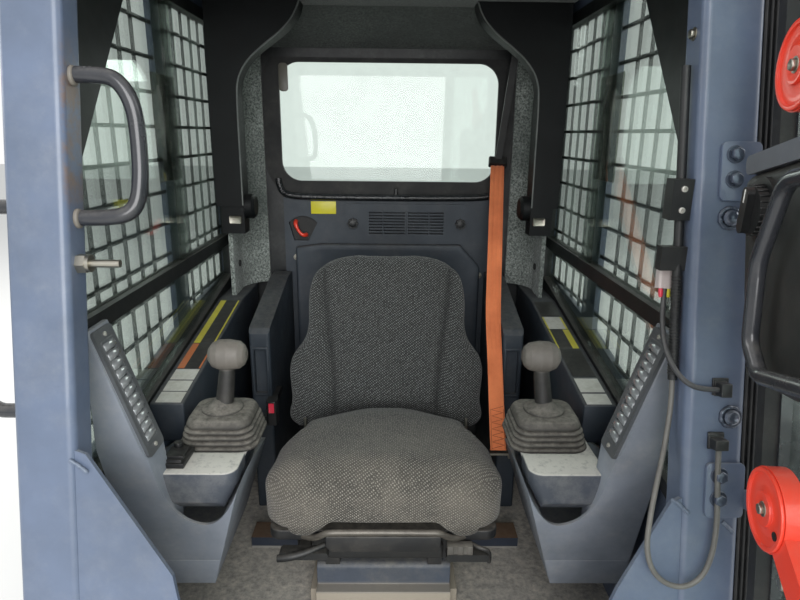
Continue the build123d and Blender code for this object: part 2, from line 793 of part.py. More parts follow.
# Ducts beside the seat back: closed boxes with a slotted recess in the front
duct_inner = 315
duct_outer = 371
duct_front = 130
duct_front_z = 642
duct_rear_z = 712
with BuildPart() as seat_ducts:
    with BuildSketch(Plane.YZ.offset(duct_inner)):
        with BuildLine():
            Polyline((duct_front, floor_top), (duct_front, duct_front_z - 14),
                     (duct_front + 12, duct_front_z), (450, duct_rear_z),
                     (panel_front_y - 9, duct_rear_z), (panel_front_y - 9, floor_top),
                     (duct_front, floor_top))
        make_face()
    extrude(amount=duct_outer - duct_inner)
    fillet(seat_ducts.edges().filter_by(Axis.Z).group_by(Axis.Y)[0], 8)
    with BuildSketch(Plane.XZ.offset(-duct_front)):
        with Locations(((duct_inner + duct_outer) / 2, 520)):
            RectangleRounded(32, 126, 4)
    extrude(amount=-14, mode=Mode.SUBTRACT)
    mirror(about=Plane.YZ)
seat_ducts.part.label = "seat_ducts"
export_step(seat_ducts.part, "parts/seat_ducts.step")

# Belt anchor on the right duct, and the belt that runs past the duct and up to its guide
belt_width = 42
belt_thickness = 5
anchor = (284, -50, 385)
belt_knee = (293, 181, 667)
guide = (338, 500, 1057)
anchor_bar = 6
with BuildPart() as belt_anchor:
    with BuildSketch(Plane.YZ.offset(duct_inner - anchor_bar)):
        with BuildLine():
            Polyline((anchor[1] - 6, anchor[2] - 20), (200, anchor[2] - 20), (200, anchor[2]),
                     (anchor[1] - 6, anchor[2]), (anchor[1] - 6, anchor[2] - 20))
        make_face()
    extrude(amount=anchor_bar)
    with BuildSketch(Plane.XY.offset(anchor[2] - 5)):
        with Locations(((anchor[0] - belt_width / 2 + duct_inner) / 2 - 2, anchor[1] + 4)):
            Rectangle(duct_inner - anchor[0] + belt_width / 2 - 4, 20)
    extrude(amount=-6)
belt_anchor.part.label = "belt_anchor"
export_step(belt_anchor.part, "parts/belt_anchor.step")

belt_lap = 4
lower_run = tuple(k - a for k, a in zip(belt_knee, anchor))
belt_run = tuple(g - k for g, k in zip(guide, belt_knee))
lower_length = sum(v * v for v in lower_run) ** 0.5
belt_length = sum(v * v for v in belt_run) ** 0.5
with BuildPart() as seat_belt:
    with BuildSketch(Plane(origin=anchor, x_dir=(1, 0, 0), z_dir=lower_run)):
        Rectangle(belt_width, belt_thickness)
    extrude(amount=lower_length)
    with BuildSketch(Plane(origin=belt_knee, x_dir=(1, 0, 0), z_dir=belt_run).offset(-belt_lap)):
        Rectangle(belt_width, belt_thickness)
    extrude(amount=belt_length + belt_lap)
seat_belt.part.label = "seat_belt"
export_step(seat_belt.part, "parts/seat_belt.step")

# Belt guide: a black loop on a strap that hangs from the ceiling
strap_top = (372, 440, 1446)
with BuildPart() as belt_guide:
    with BuildSketch(Plane(origin=guide, x_dir=(1, 0, 0), z_dir=belt_run)):
        RectangleRounded(belt_width + 14, 22, 6)
    extrude(amount=26)
    with BuildSketch(Plane(origin=(guide[0] + 2, guide[1] + 6, guide[2] + 16), x_dir=(1, 0, 0),
                           z_dir=tuple(t - g for t, g in zip(strap_top, guide)))):
        Rectangle(20, 5)
    extrude(amount=sum((t - g) ** 2 for t, g in zip(strap_top, guide)) ** 0.5 - 20)
belt_guide.part.label = "belt_guide"
export_step(belt_guide.part, "parts/belt_guide.step")

# Buckle on its flat stalk, beside the left duct
buckle_x = -290
buckle_y = 12
buckle_low = 428
with BuildPart() as buckle:
    with BuildSketch(Plane.XY.offset(buckle_low)):
        with Locations((buckle_x, buckle_y)):
            RectangleRounded(26, 34, 5)
    extrude(amount=66)
    with BuildSketch(Plane.YZ.offset(-duct_inner)):
        with BuildLine():
            Polyline((buckle_y - 8, buckle_low + 20), (buckle_y - 8, buckle_low - 4),
                     (200, buckle_low - 4), (200, buckle_low + 20),
                     (buckle_y - 8, buckle_low + 20))
        make_face()
    extrude(amount=duct_inner + buckle_x - 11)
buckle.part.label = "buckle"
export_step(buckle.part, "parts/buckle.step")

# Grab handle on the left post's inner side, bent from one tube
handle_tube = 12
with BuildPart() as grab_handle:
    with BuildLine() as handle_path:
        FilletPolyline((-post_inner, -464, 1228), (57 - post_inner, -464, 1228),
                       (92 - post_inner, -471, 1158), (90 - post_inner, -488, 1062),
                       (57 - post_inner, -500, 1024), (-post_inner, -500, 1024),
                       radius=[26, 40, 30, 20])
    with BuildSketch(Plane(origin=handle_path.line @ 0, z_dir=handle_path.line % 0)):
        Circle(handle_tube)
    sweep()
grab_handle.part.label = "grab_handle"
export_step(grab_handle.part, "parts/grab_handle.step")

# Outer hand rail on the left post's outer side
with BuildPart() as outer_rail:
    with BuildLine() as rail_path:
        FilletPolyline((-half_width, -505, 1040), (-half_width - 56, -505, 1040),
                       (-half_width - 56, -563, 740), (-half_width, -563, 740), radius=[34, 34])
    with BuildSketch(Plane(origin=rail_path.line @ 0, z_dir=rail_path.line % 0)):
        Circle(11)
    sweep()
outer_rail.part.label = "outer_rail"
export_step(outer_rail.part, "parts/outer_rail.step")

# Door latch pin with its flange nuts on the left post
latch_z = 958
latch_y = -515
with BuildPart() as latch_pin:
    with BuildSketch(Plane.YZ.offset(-post_inner)):
        with Locations((latch_y, latch_z)):
            RegularPolygon(15, 6)
    extrude(amount=14)
    with BuildSketch(Plane.YZ.offset(-post_inner + 14)):
        with Locations((latch_y, latch_z)):
            Circle(13)
    extrude(amount=5)
    with BuildSketch(Plane.YZ.offset(-post_inner + 19)):
        with Locations((latch_y, latch_z)):
            Circle(6)
    extrude(amount=43)
latch_pin.part.label = "latch_pin"
export_step(latch_pin.part, "parts/latch_pin.step")

# Wiring on the right post: conduit, switch block and a hanging connector
conduit_x = post_inner - 9
with BuildPart() as harness:
    with BuildLine() as conduit_path:
        Polyline((conduit_x, post_front(1250) + 30, 1250), (conduit_x, post_front(790) + 30, 790))
    with BuildSketch(Plane(origin=conduit_path.line @ 0, z_dir=conduit_path.line % 0)):
        Circle(7)
    sweep()
    with BuildSketch(Plane.XY.offset(1030)):
        with Locations((post_inner - 15, post_front(1060) + 24)):
            Rectangle(30, 26)
    extrude(amount=60)
    with BuildSketch(Plane.XY.offset(955)):
        with Locations((post_inner - 19, post_front(975) + 30)):
            Rectangle(38, 18)
    extrude(amount=36)
harness.part.label = "harness"
export_step(harness.part, "parts/harness.step")

connector_top = (conduit_x - 4, -488, 978)
connector_foot = (conduit_x - 8, -500, 922)
with BuildPart() as connector:
    with BuildSketch(Plane(origin=connector_foot, x_dir=(1, 0, 0),
                           z_dir=tuple(t - f for t, f in zip(connector_top, connector_foot)))):
        RectangleRounded(26, 18, 4)
    extrude(amount=56)
connector.part.label = "connector"
export_step(connector.part, "parts/connector.step")

# Glands on the post's outer part, where the two free cables end
cable_size = 8
gland_gap = 12
gland_length = 16
upper_gland = (post_inner + 40, 792)
lower_gland = (post_inner + 45, 704)


def off_post(x, z, gap=gland_gap):
    """Point in front of the right post's face, gap out from it."""
    return (x, post_front(z) - gap / rake_cos, z)


with BuildPart() as cable_glands:
    with BuildSketch(Plane(origin=off_post(*upper_gland), x_dir=(0, rake_cos, -rake_sin),
                           z_dir=(1, 0, 0))):
        Rectangle(2 * gland_gap - 4, 20)
    extrude(amount=gland_length)
    with BuildSketch(Plane(origin=off_post(*lower_gland), x_dir=(1, 0, 0),
                           z_dir=(0, rake_sin, rake_cos))):
        Rectangle(20, 2 * gland_gap - 4)
    extrude(amount=gland_length)
    with BuildSketch(raked_plane):
        with Locations((upper_gland[0] + gland_length / 2, upper_gland[1] / rake_cos),
                       (lower_gland[0], lower_gland[1] / rake_cos + gland_length / 2)):
            Rectangle(24, 26)
    extrude(amount=4)
cable_glands.part.label = "cable_glands"
export_step(cable_glands.part, "parts/cable_glands.step")


def corner_radii(points):
    """Radius of each corner: 0.45 of the shorter run over the tangent of half the turn."""
    radii = []
    for before, here, after in zip(points, points[1:], points[2:]):
        into = Vector(*here) - Vector(*before)
        out = Vector(*after) - Vector(*here)
        turn = into.get_angle(out)
        radii.append(0.45 * min(into.length, out.length) / tan(radians(turn / 2)))
    return radii


# Free cables: from the connector and from the conduit's foot to the two glands
# out from the post's inner side, Y, Z
upper_bends = [(-24, -526, 864), (-27, -550, 840), (-22, -571, 819), (-9, -585, 802)]
lower_bends = [(-14, -565, 722), (-26, -586, 682), (-41, -608, 640), (-53, -627, 597)]
# out from the post's inner side, Z
lower_loop = [(-57, 556), (-48, 521), (-25, 499), (5, 494), (30, 510), (43, 543), (48, 586), (47, 629),
              (45, 668)]
connector_exit = tuple(f + 0.54 * (f - t) for t, f in zip(connector_top, connector_foot))
upper_route = [connector_foot, connector_exit]
upper_route += [(post_inner + out, y, z) for out, y, z in upper_bends]
upper_route += [off_post(post_inner + 13, upper_gland[1]), off_post(*upper_gland)]
lower_route = [(conduit_x, post_front(z) + 30, z) for z in (790, 757)]
lower_route += [(post_inner + out, y, z) for out, y, z in lower_bends]
lower_route += [off_post(post_inner + out, z) for out, z in lower_loop]
lower_route += [off_post(*lower_gland)]
for name, route in [("cable_upper", upper_route), ("cable_lower", lower_route)]:
    radii = corner_radii(route)
    with BuildPart() as cable:
        with BuildLine() as cable_path:
            FilletPolyline(*route, radius=radii)
        with BuildSketch(Plane(origin=cable_path.line @ 0, z_dir=cable_path.line % 0)):
            Circle(cable_size / 2)
        sweep()
    cable_length = sum(e.length for e in cable_path.edges())
    cable_ratio = cable.part.volume / (pi * (cable_size / 2) ** 2 * cable_length)
    print(name, "radii", [round(r) for r in radii], "length", round(cable_length),
          "volume ratio", round(cable_ratio, 4))
    cable.part.label = name
    export_step(cable.part, "parts/" + name + ".step")

# Door plane: x runs from the hinge axis to the free edge, y up along the axis, z into the cab
swing = radians(door_open)
door_origin = (door_axis_x, post_front(0) - door_gap / rake_cos, 0)
door_plane = Plane(origin=door_origin,
                   x_dir=(-cos(swing), -sin(swing) * rake_cos, sin(swing) * rake_sin),
                   z_dir=(-sin(swing), cos(swing) * rake_cos, -cos(swing) * rake_sin))

# Hinges: plates and lugs on the post, leaves on the door, a pin through each pair
hinge_heights = [655, 1128]
hinge_half = 28
hinge_radius = 10
hinge_pin = 6
pin_clearance = 0.08
hinge_plate = 6
plate_left = post_inner + 32
with BuildPart() as hinge_brackets:
    for height in hinge_heights:
        with BuildSketch(raked_plane):
            with Locations(((plate_left + half_width) / 2, height - door_gap * rake_tan)):
                RectangleRounded(half_width - plate_left, 84, 8)
        extrude(amount=hinge_plate)
        across = Plane(origin=(door_axis_x, door_origin[1] + height * rake_sin, height * rake_cos),
                       x_dir=(1, 0, 0), z_dir=(0, rake_sin, rake_cos))
        with BuildSketch(across.offset(-hinge_half)):
            Circle(hinge_radius)
            with BuildLine():
                Polyline((half_width - 4 - door_axis_x, door_gap - hinge_plate),
                         (half_width - 4 - door_axis_x, door_gap), (hinge_radius, door_gap),
                         (hinge_radius, 0), (-hinge_radius, 0),
                         (-hinge_radius, door_gap - hinge_plate),
                         (half_width - 4 - door_axis_x, door_gap - hinge_plate))
            make_face()
        extrude(amount=hinge_half - 0.25)
        with BuildSketch(across.offset(-hinge_half - 3)):
            Circle(hinge_pin)
        extrude(amount=2 * hinge_half + 6)
hinge_brackets.part.label = "hinge_brackets"
export_step(hinge_brackets.part, "parts/hinge_brackets.step")

# Door frame: a rounded ring with a hinge leaf at each height, swung open at rest
door_foot = door_low / rake_cos
door_head = door_high / rake_cos
door_span = door_width - door_start
door_centre = ((door_start + door_width) / 2, (door_foot + door_head) / 2)
leaf_length = 26
with BuildPart() as door_frame:
    with BuildSketch(door_plane):
        with Locations(door_centre):
            RectangleRounded(door_span, door_head - door_foot, door_corner)
            RectangleRounded(door_span - 2 * door_bar, door_head - door_foot - 2 * door_bar,
                             door_corner - door_bar, mode=Mode.SUBTRACT)
    extrude(amount=-door_thickness)
    for height in hinge_heights:
        leaf_plane = Plane(origin=door_origin, x_dir=door_plane.x_dir, z_dir=door_plane.y_dir)
        with BuildSketch(leaf_plane.offset(height + 0.25)):
            Circle(hinge_radius)
            with Locations((leaf_length / 2, hinge_radius / 2)):
                Rectangle(leaf_length, hinge_radius)
            Circle(hinge_pin + pin_clearance, mode=Mode.SUBTRACT)
        extrude(amount=hinge_half - 0.25)
door_frame.part.label = "door_frame"
export_step(door_frame.part, "parts/door_frame.step")

glass_depth = 14
with BuildPart() as door_glass_pane:
    with BuildSketch(door_plane.offset(-glass_depth)):
        with Locations(door_centre):
            RectangleRounded(door_span - 2 * door_bar, door_head - door_foot - 2 * door_bar,
                             door_corner - door_bar)
    extrude(amount=-door_glass)
door_glass_pane.part.label = "door_glass"
export_step(door_glass_pane.part, "parts/door_glass.step")

# Door seal: stands clear of the hinge plates when the door is shut
seal_clearance = 5
seal_width = 24
with BuildPart() as door_seal:
    with BuildSketch(door_plane):
        with Locations(door_centre):
            RectangleRounded(door_span, door_head - door_foot, door_corner)
            RectangleRounded(door_span - 2 * seal_width, door_head - door_foot - 2 * seal_width,
                             door_corner - seal_width, mode=Mode.SUBTRACT)
    extrude(amount=door_gap - hinge_plate - seal_clearance)
door_seal.part.label = "door_seal"
export_step(door_seal.part, "parts/door_seal.step")

# Door panel on the glass, with a flat rail along its top
panel_face = 98
door_panel_top = 1102
door_panel_foot = 862
door_panel_end = 420
with BuildPart() as door_panel:
    with BuildSketch(door_plane.offset(-glass_depth)):
        with BuildLine():
            Polyline((140, door_panel_top), (150, 966), (168, door_panel_foot),
                     (door_panel_end, door_panel_foot), (door_panel_end, door_panel_top),
                     (140, door_panel_top))
        face = make_face()
        fillet(face.vertices(), 14)
    extrude(amount=glass_depth + panel_face)
    chamfer(door_panel.faces().sort_by(Axis(door_plane.origin, door_plane.z_dir))[-1].edges(), 8)
door_panel.part.label = "door_panel"
export_step(door_panel.part, "parts/door_panel.step")

rail_height = 22
with BuildPart() as door_rail:
    with BuildSketch(door_plane.offset(-glass_depth)):
        with Locations(((146 + door_panel_end) / 2, door_panel_top + rail_height / 2)):
            RectangleRounded(door_panel_end - 146, rail_height, 9)
    extrude(amount=glass_depth + panel_face)
door_rail.part.label = "door_rail"
export_step(door_rail.part, "parts/door_rail.step")

# Rotary switch on the panel: a bezel with a ridged knob
switch_at = (206, 1057)
with BuildPart() as door_switch:
    with BuildSketch(door_plane.offset(panel_face)):
        with Locations(switch_at):
            Circle(36)
    extrude(amount=6)
    with BuildSketch(door_plane.offset(panel_face + 6)):
        with Locations(switch_at):
            Circle(27)
    extrude(amount=10)
    with BuildSketch(door_plane.offset(panel_face + 16)):
        with Locations(switch_at):
            SlotOverall(52, 16, rotation=70)
    extrude(amount=8)
door_switch.part.label = "door_switch"
export_step(door_switch.part, "parts/door_switch.step")

# Door handle: one bent tube on the panel's face
handle_out = 22
handle_route = [(378, 1078, 0), (378, 1078, handle_out), (304, 1078, handle_out),
                (250, 1000, handle_out), (240, 915, handle_out), (268, 884, handle_out),
                (378, 892, handle_out), (378, 892, 0)]
with BuildPart() as door_handle:
    with BuildLine(door_plane.offset(panel_face)) as pull_path:
        FilletPolyline(*handle_route, radius=[10, 36, 60, 26, 22, 10])
    with BuildSketch(Plane(origin=pull_path.line @ 0, z_dir=pull_path.line % 0)):
        Circle(8.5)
    sweep()
door_handle.part.label = "door_handle"
export_step(door_handle.part, "parts/door_handle.step")

# Two release levers: a disc on a hub with a rounded arm
# disc x, disc height, arm end x, arm end height
releases = [(206, 720, 322, 622), (222, 1207, 300, 1330)]
release_radius = 48
release_hub = 28
release_face = 80
release_thickness = 22
with BuildPart() as door_releases:
    for disc_x, disc_y, end_x, end_y in releases:
        with BuildSketch(door_plane.offset(-glass_depth)):
            with Locations((disc_x, disc_y)):
                Circle(release_hub)
        extrude(amount=glass_depth + release_face - release_thickness)
        with BuildSketch(door_plane.offset(release_face - release_thickness)):
            with Locations((disc_x, disc_y)):
                Circle(release_radius)
            with BuildLine():
                Line((disc_x, disc_y), (end_x, end_y))
                offset(amount=19)
            make_face()
        extrude(amount=release_thickness)
door_releases.part.label = "door_releases"
export_step(door_releases.part, "parts/door_releases.step")

# Seat base: runners on the plinth under a suspension box, with a front cover
runner_x = 110
runner_width = 30
base_half = 185
base_low = 275
base_top = 345
base_front = -310
base_rear = 70
runner_low = plinth_top + running_gap
with BuildPart() as seat_base:
    with BuildSketch(Plane.XY.offset(runner_low)):
        with Locations((-runner_x, (base_front + base_rear) / 2), (runner_x, (base_front + base_rear) / 2)):
            Rectangle(runner_width, base_rear - base_front - 20)
    extrude(amount=base_low - runner_low)
    with BuildSketch(Plane.XY.offset(base_low)):
        with Locations((0, (base_front + base_rear) / 2)):
            RectangleRounded(2 * base_half, base_rear - base_front, 18)
    extrude(amount=base_top - base_low)
seat_base.part.label = "seat_base"
export_step(seat_base.part, "parts/seat_base.step")

# Seat levers under the front edge
# left end X, right end X, height
seat_levers_table = [(-212, -112, 322), (128, 216, 318)]
lever_front = -366
with BuildPart() as seat_levers:
    for left, right, height in seat_levers_table:
        with BuildSketch(Plane.XZ.offset(-lever_front)):
            with Locations(((left + right) / 2, height)):
                RectangleRounded(right - left, 16, 7)
        extrude(amount=-26)
        with BuildSketch(Plane.XZ.offset(-lever_front - 26)):
            with Locations(((left + right) / 2, height)):
                Rectangle(24, 12)
        extrude(amount=base_front - lever_front - 26, dir=(0, 1, 0))
seat_levers.part.label = "seat_levers"
export_step(seat_levers.part, "parts/seat_levers.step")

# Seat pan with the brackets that carry the back
pan_half = 235
pan_front = -345
pan_rear = 96
pan_rim = 118
bracket_thickness = 8
bracket_x = 150
bracket_foot = 445
bracket_top = 530
shell_half = 225
shell_thickness = 36


def shell_back(z):
    """Y of the back shell's rear face at height z."""
    return (back_foot_y + (z - back_foot_z) * tan(radians(back_tilt))
            + (back_thickness + shell_thickness) / cos(radians(back_tilt)))


with BuildPart() as seat_pan:
    with BuildSketch(Plane.XY.offset(base_top)):
        with Locations((0, (pan_front + pan_rear) / 2)):
            RectangleRounded(2 * pan_half, pan_rear - pan_front, 24)
    extrude(amount=cushion_low - base_top)
    with BuildSketch(Plane.XZ.offset(-pan_front)):
        with BuildLine():
            Polyline((-pan_rim, base_top - 8), (-pan_rim + 12, base_top - 18),
                     (pan_rim - 12, base_top - 18), (pan_rim, base_top - 8),
                     (pan_rim, cushion_low - 4), (-pan_rim, cushion_low - 4),
                     (-pan_rim, base_top - 8))
        make_face()
    extrude(amount=14, both=True)
    for side in [-1, 1]:
        with BuildSketch(Plane.YZ.offset(side * bracket_x)):
            with BuildLine():
                Polyline((50, cushion_low - 14), (50, cushion_low + 10), (142, cushion_low + 26),
                         (shell_back(bracket_foot), bracket_foot),
                         (shell_back(bracket_top), bracket_top),
                         (shell_back(bracket_top) + 30, bracket_top), (190, cushion_low + 60),
                         (130, cushion_low - 16), (50, cushion_low - 14))
            make_face()
        extrude(amount=bracket_thickness / 2, both=True)
seat_pan.part.label = "seat_pan"
export_step(seat_pan.part, "parts/seat_pan.step")

# Seat cushion: wide in front, narrower behind its shoulders, with a rolled top edge
with BuildPart() as seat_cushion:
    with BuildSketch(Plane.XY.offset(cushion_low)):
        with BuildLine():
            Polyline((0, cushion_front), (cushion_half, cushion_front),
                     (cushion_shoulder, cushion_shoulder_y),
                     (cushion_rear_half, cushion_shoulder_y + 50), (cushion_rear_half, cushion_rear),
                     (0, cushion_rear))
            mirror(about=Plane.YZ)
        face = make_face()
        fillet(face.vertices().filter_by(lambda v: abs(v.X) > 1).group_by(Axis.Y)[0], 70)
        fillet(face.vertices().filter_by(lambda v: abs(v.X) > 1).group_by(Axis.Y)[-1], 24)
    extrude(amount=cushion_top - cushion_low)
    fillet(seat_cushion.edges().group_by(Axis.Z)[-1], 24)
seat_cushion.part.label = "seat_cushion"
export_step(seat_cushion.part, "parts/seat_cushion.step")

# Seat back: a shell behind a tapered cushion, both leaning back
back_plane = Plane(origin=(0, back_foot_y, back_foot_z), x_dir=(1, 0, 0),
                   z_dir=(0, -cos(radians(back_tilt)), sin(radians(back_tilt))))
with BuildPart() as backrest_shell:
    with BuildSketch(back_plane.offset(-back_thickness)):
        with BuildLine():
            Polyline((-shell_half, 20), (shell_half, 20), (back_top_half - 18, back_height - 14),
                     (-back_top_half + 18, back_height - 14), (-shell_half, 20))
        face = make_face()
        fillet(face.vertices(), 46)
    extrude(amount=-shell_thickness)
    fillet(backrest_shell.faces().sort_by(Axis.Y)[-1].edges(), 14)
backrest_shell.part.label = "backrest_shell"
export_step(backrest_shell.part, "parts/backrest_shell.step")

# half outline from the top middle down to the lower corner
back_outline = [(0, back_height), (back_top_half - 68, back_height - 3), (back_top_half + 12, back_height - 42),
                (back_top_half + 32, 330), (back_top_half + 40, 272), (back_low_half - 36, 190),
                (back_low_half - 7, 143), (back_low_half, 95), (back_low_half - 8, 10),
                (back_low_half - 40, -back_drop)]
with BuildPart() as backrest_cushion:
    with BuildSketch(back_plane):
        with BuildLine():
            Spline(*back_outline, tangents=[(1, 0), (-1, -0.4)])
            mirror(about=Plane.YZ)
            ThreePointArc(back_outline[-1], (0, -6), (-back_outline[-1][0], -back_drop))
        make_face()
    extrude(amount=-back_thickness)
    fillet(backrest_cushion.faces().sort_by(Axis(back_plane.origin, back_plane.z_dir))[-1].edges(), 12)
backrest_cushion.part.label = "backrest_cushion"
export_step(backrest_cushion.part, "parts/backrest_cushion.step")
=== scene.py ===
import bpy
import bmesh
from math import atan2, cos, exp, hypot, pi, radians, sin, tan, tanh
from mathutils import Matrix, Vector


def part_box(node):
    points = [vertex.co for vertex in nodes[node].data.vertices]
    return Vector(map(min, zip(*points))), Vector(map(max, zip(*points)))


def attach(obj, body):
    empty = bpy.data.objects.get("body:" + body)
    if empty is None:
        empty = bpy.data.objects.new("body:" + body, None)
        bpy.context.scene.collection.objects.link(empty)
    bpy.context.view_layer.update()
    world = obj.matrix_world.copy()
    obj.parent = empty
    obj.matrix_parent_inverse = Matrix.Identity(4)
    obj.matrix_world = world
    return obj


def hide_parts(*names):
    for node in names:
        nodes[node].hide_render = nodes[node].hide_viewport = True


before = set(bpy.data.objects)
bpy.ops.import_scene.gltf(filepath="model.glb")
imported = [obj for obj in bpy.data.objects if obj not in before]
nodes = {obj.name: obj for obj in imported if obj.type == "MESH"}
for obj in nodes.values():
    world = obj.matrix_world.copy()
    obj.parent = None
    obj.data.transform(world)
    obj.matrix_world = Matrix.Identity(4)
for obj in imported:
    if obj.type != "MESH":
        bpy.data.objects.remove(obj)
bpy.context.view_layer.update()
bpy.ops.object.select_all(action="DESELECT")
print("frame loaded", len(nodes))

# camera: stands in front of the open door, looking in and a little down
cameraSettings = {"place": (0.015, -1.400, 1.150), "lens": 27.0, "pitch": 15.5, "yaw": 0.75, "roll": 0.6}


def addObject(name, data):
    made = bpy.data.objects.new(name, data)
    bpy.context.scene.collection.objects.link(made)
    return made


cameraData = bpy.data.cameras.new("cabCamera")
cameraData.lens = cameraSettings["lens"]
cameraData.sensor_width = 36
cameraData.clip_start = 0.02
camera = addObject("cabCamera", cameraData)
camera.matrix_world = (Matrix.Translation(cameraSettings["place"])
                       @ Matrix.Rotation(-radians(cameraSettings["yaw"]), 4, "Z")
                       @ Matrix.Rotation(pi / 2 - radians(cameraSettings["pitch"]), 4, "X")
                       @ Matrix.Rotation(radians(cameraSettings["roll"]), 4, "Z"))
bpy.context.scene.camera = camera

# the front posts lean back; their front face at a height
rake = radians(11)
postHead = (-0.475, 1.322)


def postFront(z):
    return postHead[0] - (postHead[1] - z) * tan(rake)


def offPost(x, z, gap=0.012):
    return (x, postFront(z) - gap / cos(rake), z)


# materials
lit, unlit = (1, 1, 1, 1), (0, 0, 0, 1)


def rgb(code):
    parts = [int(code[i:i + 2], 16) / 255 for i in (1, 3, 5)]
    return [c / 12.92 if c <= 0.04045 else ((c + 0.055) / 1.055) ** 2.4 for c in parts] + [1]


def newMaterial(name):
    made = bpy.data.materials.new(name)
    made.use_nodes = True
    return made, made.node_tree, made.node_tree.nodes["Principled BSDF"]


def place(tree, kind, **values):
    node = tree.nodes.new("ShaderNode" + kind)
    for key, value in values.items():
        if key in node.inputs:
            node.inputs[key].default_value = value
        else:
            setattr(node, key, value)
    return node


def feed(tree, *pairs):
    # give each socket a link or a plain value
    for socket, value in pairs:
        if isinstance(value, bpy.types.NodeSocket):
            tree.links.new(value, socket)
        else:
            socket.default_value = value


def coords(tree, scale=(1, 1, 1), turn=(0, 0, 0), source="Object"):
    mapping = place(tree, "Mapping", Scale=scale, Rotation=turn)
    feed(tree, (mapping.inputs["Vector"], place(tree, "TexCoord").outputs[source]))
    return mapping.outputs["Vector"]


def parted(tree, vector):
    split = place(tree, "SeparateXYZ")
    feed(tree, (split.inputs[0], vector))
    return split.outputs


def ramp(tree, source, low, high, lowColour=unlit, highColour=lit):
    node = place(tree, "ValToRGB")
    for element, position, colour in zip(node.color_ramp.elements, (low, high), (lowColour, highColour)):
        element.position = position
        element.color = colour
    feed(tree, (node.inputs["Fac"], source))
    return node.outputs["Color"]


def mixColour(tree, factor, first, second):
    node = place(tree, "Mix", data_type="RGBA")
    feed(tree, (node.inputs[0], factor), (node.inputs[6], first), (node.inputs[7], second))
    return node.outputs[2]


def maths(tree, kind, first, second=0.5):
    node = place(tree, "Math", operation=kind)
    feed(tree, (node.inputs[0], first), (node.inputs[1], second))
    return node.outputs[0]


def times(tree, first, second):
    return maths(tree, "MULTIPLY", first, second)


def plus(tree, first, second):
    return maths(tree, "ADD", first, second)


def noise(tree, vector, scale, detail=4, rough=0.6):
    node = place(tree, "TexNoise", Scale=scale, Detail=detail, Roughness=rough)
    feed(tree, (node.inputs["Vector"], vector))
    return node.outputs["Fac"]


def bands(tree, vector, direction, scale, distortion, detail):
    node = place(tree, "TexWave", Scale=scale, Distortion=distortion, Detail=detail)
    node.bands_direction = direction
    feed(tree, (node.inputs["Vector"], vector))
    return node.outputs["Fac"]


def dress(tree, shader, colour, height, strength, distance, **values):
    # colour, bump and the plain values of a surface; _ stands for a space in a name
    node = place(tree, "Bump", Strength=strength, Distance=distance)
    feed(tree, (node.inputs["Height"], height), (shader.inputs["Normal"], node.outputs["Normal"]),
         (shader.inputs["Base Color"], colour))
    for key, value in values.items():
        feed(tree, (shader.inputs[key.replace("_", " ")], value))


columns = ("colour", "patch", "dust", "dustTop", "dustSide", "smooth", "rough", "bump")


def worn(name, row):
    # painted or moulded surface: patchy colour, dust that settles on top, small scratches, grain
    look = {**dict(zip(columns, row)), **row[-1]}
    made, tree, shader = newMaterial(name)
    vector = coords(tree)
    colour = ramp(tree, noise(tree, vector, look.get("patchScale", 7), 5), 0.35, 0.7,
                  rgb(look["colour"]), rgb(look["patch"]))
    if "foot" in look:
        # another colour below a level
        axis, level, footColour = look["foot"]
        edge = ramp(tree, parted(tree, vector)[axis], level - 0.004, level + 0.004)
        colour = mixColour(tree, edge, rgb(footColour), colour)
    if "rim" in look:
        # flaked inner edge of the left post, beside the grab handle
        reach, rimColour = look["rim"]
        split = parted(tree, vector)
        inward = times(tree, split["X"], -1.0)
        away = maths(tree, "ABSOLUTE", maths(tree, "SUBTRACT", split["Z"], 1.15))
        near = times(tree, ramp(tree, inward, reach, reach + 0.0025, lit, unlit),
                     ramp(tree, inward, 0.40, 0.41))
        near = times(tree, near, ramp(tree, away, 0.07, 0.15, lit, unlit))
        flakes = ramp(tree, noise(tree, vector, 22, 7, 0.75), 0.44, 0.60)
        colour = mixColour(tree, times(tree, near, flakes), colour, rgb(rimColour))
    # how far a face looks up, from the piece's own normals
    upward = parted(tree, place(tree, "TexCoord").outputs["Normal"])["Z"]
    settle = times(tree, ramp(tree, upward, 0.2, 0.95), look["dustTop"])
    smear = times(tree, ramp(tree, noise(tree, vector, 11, 8, 0.7), 0.45, 0.75), look["dustSide"])
    amount = times(tree, plus(tree, settle, smear),
                   ramp(tree, noise(tree, vector, 60, 6, 0.75), *look.get("even", (0.25, 0.7))))
    colour = mixColour(tree, maths(tree, "MINIMUM", amount, 1.0), colour, rgb(look["dust"]))
    if "scratch" in look:
        thin = noise(tree, coords(tree, (26, 26, 220), (0.5, 0.3, 0.2)), 1.0, 8, 0.8)
        marks = times(tree, ramp(tree, thin, 0.66, 0.70), look.get("scratchAmount", 0.5))
        colour = mixColour(tree, marks, colour, rgb(look["scratch"]))
    rough = place(tree, "MapRange", **{"To Min": look["smooth"], "To Max": look["rough"]})
    feed(tree, (rough.inputs["Value"], noise(tree, vector, 14, 6)))
    grain = times(tree, noise(tree, vector, 900, 2), look.get("grain", 0.3))
    waves = times(tree, noise(tree, vector, look.get("waveScale", 30), 3), look.get("wave", 0.5))
    dress(tree, shader, colour, plus(tree, grain, waves), look["bump"], 0.0015, Roughness=rough.outputs[0],
          Metallic=look.get("metal", 0.0), Coat_Weight=look.get("coat", 0.0),
          Specular_IOR_Level=look.get("specular", 0.5))
    return made


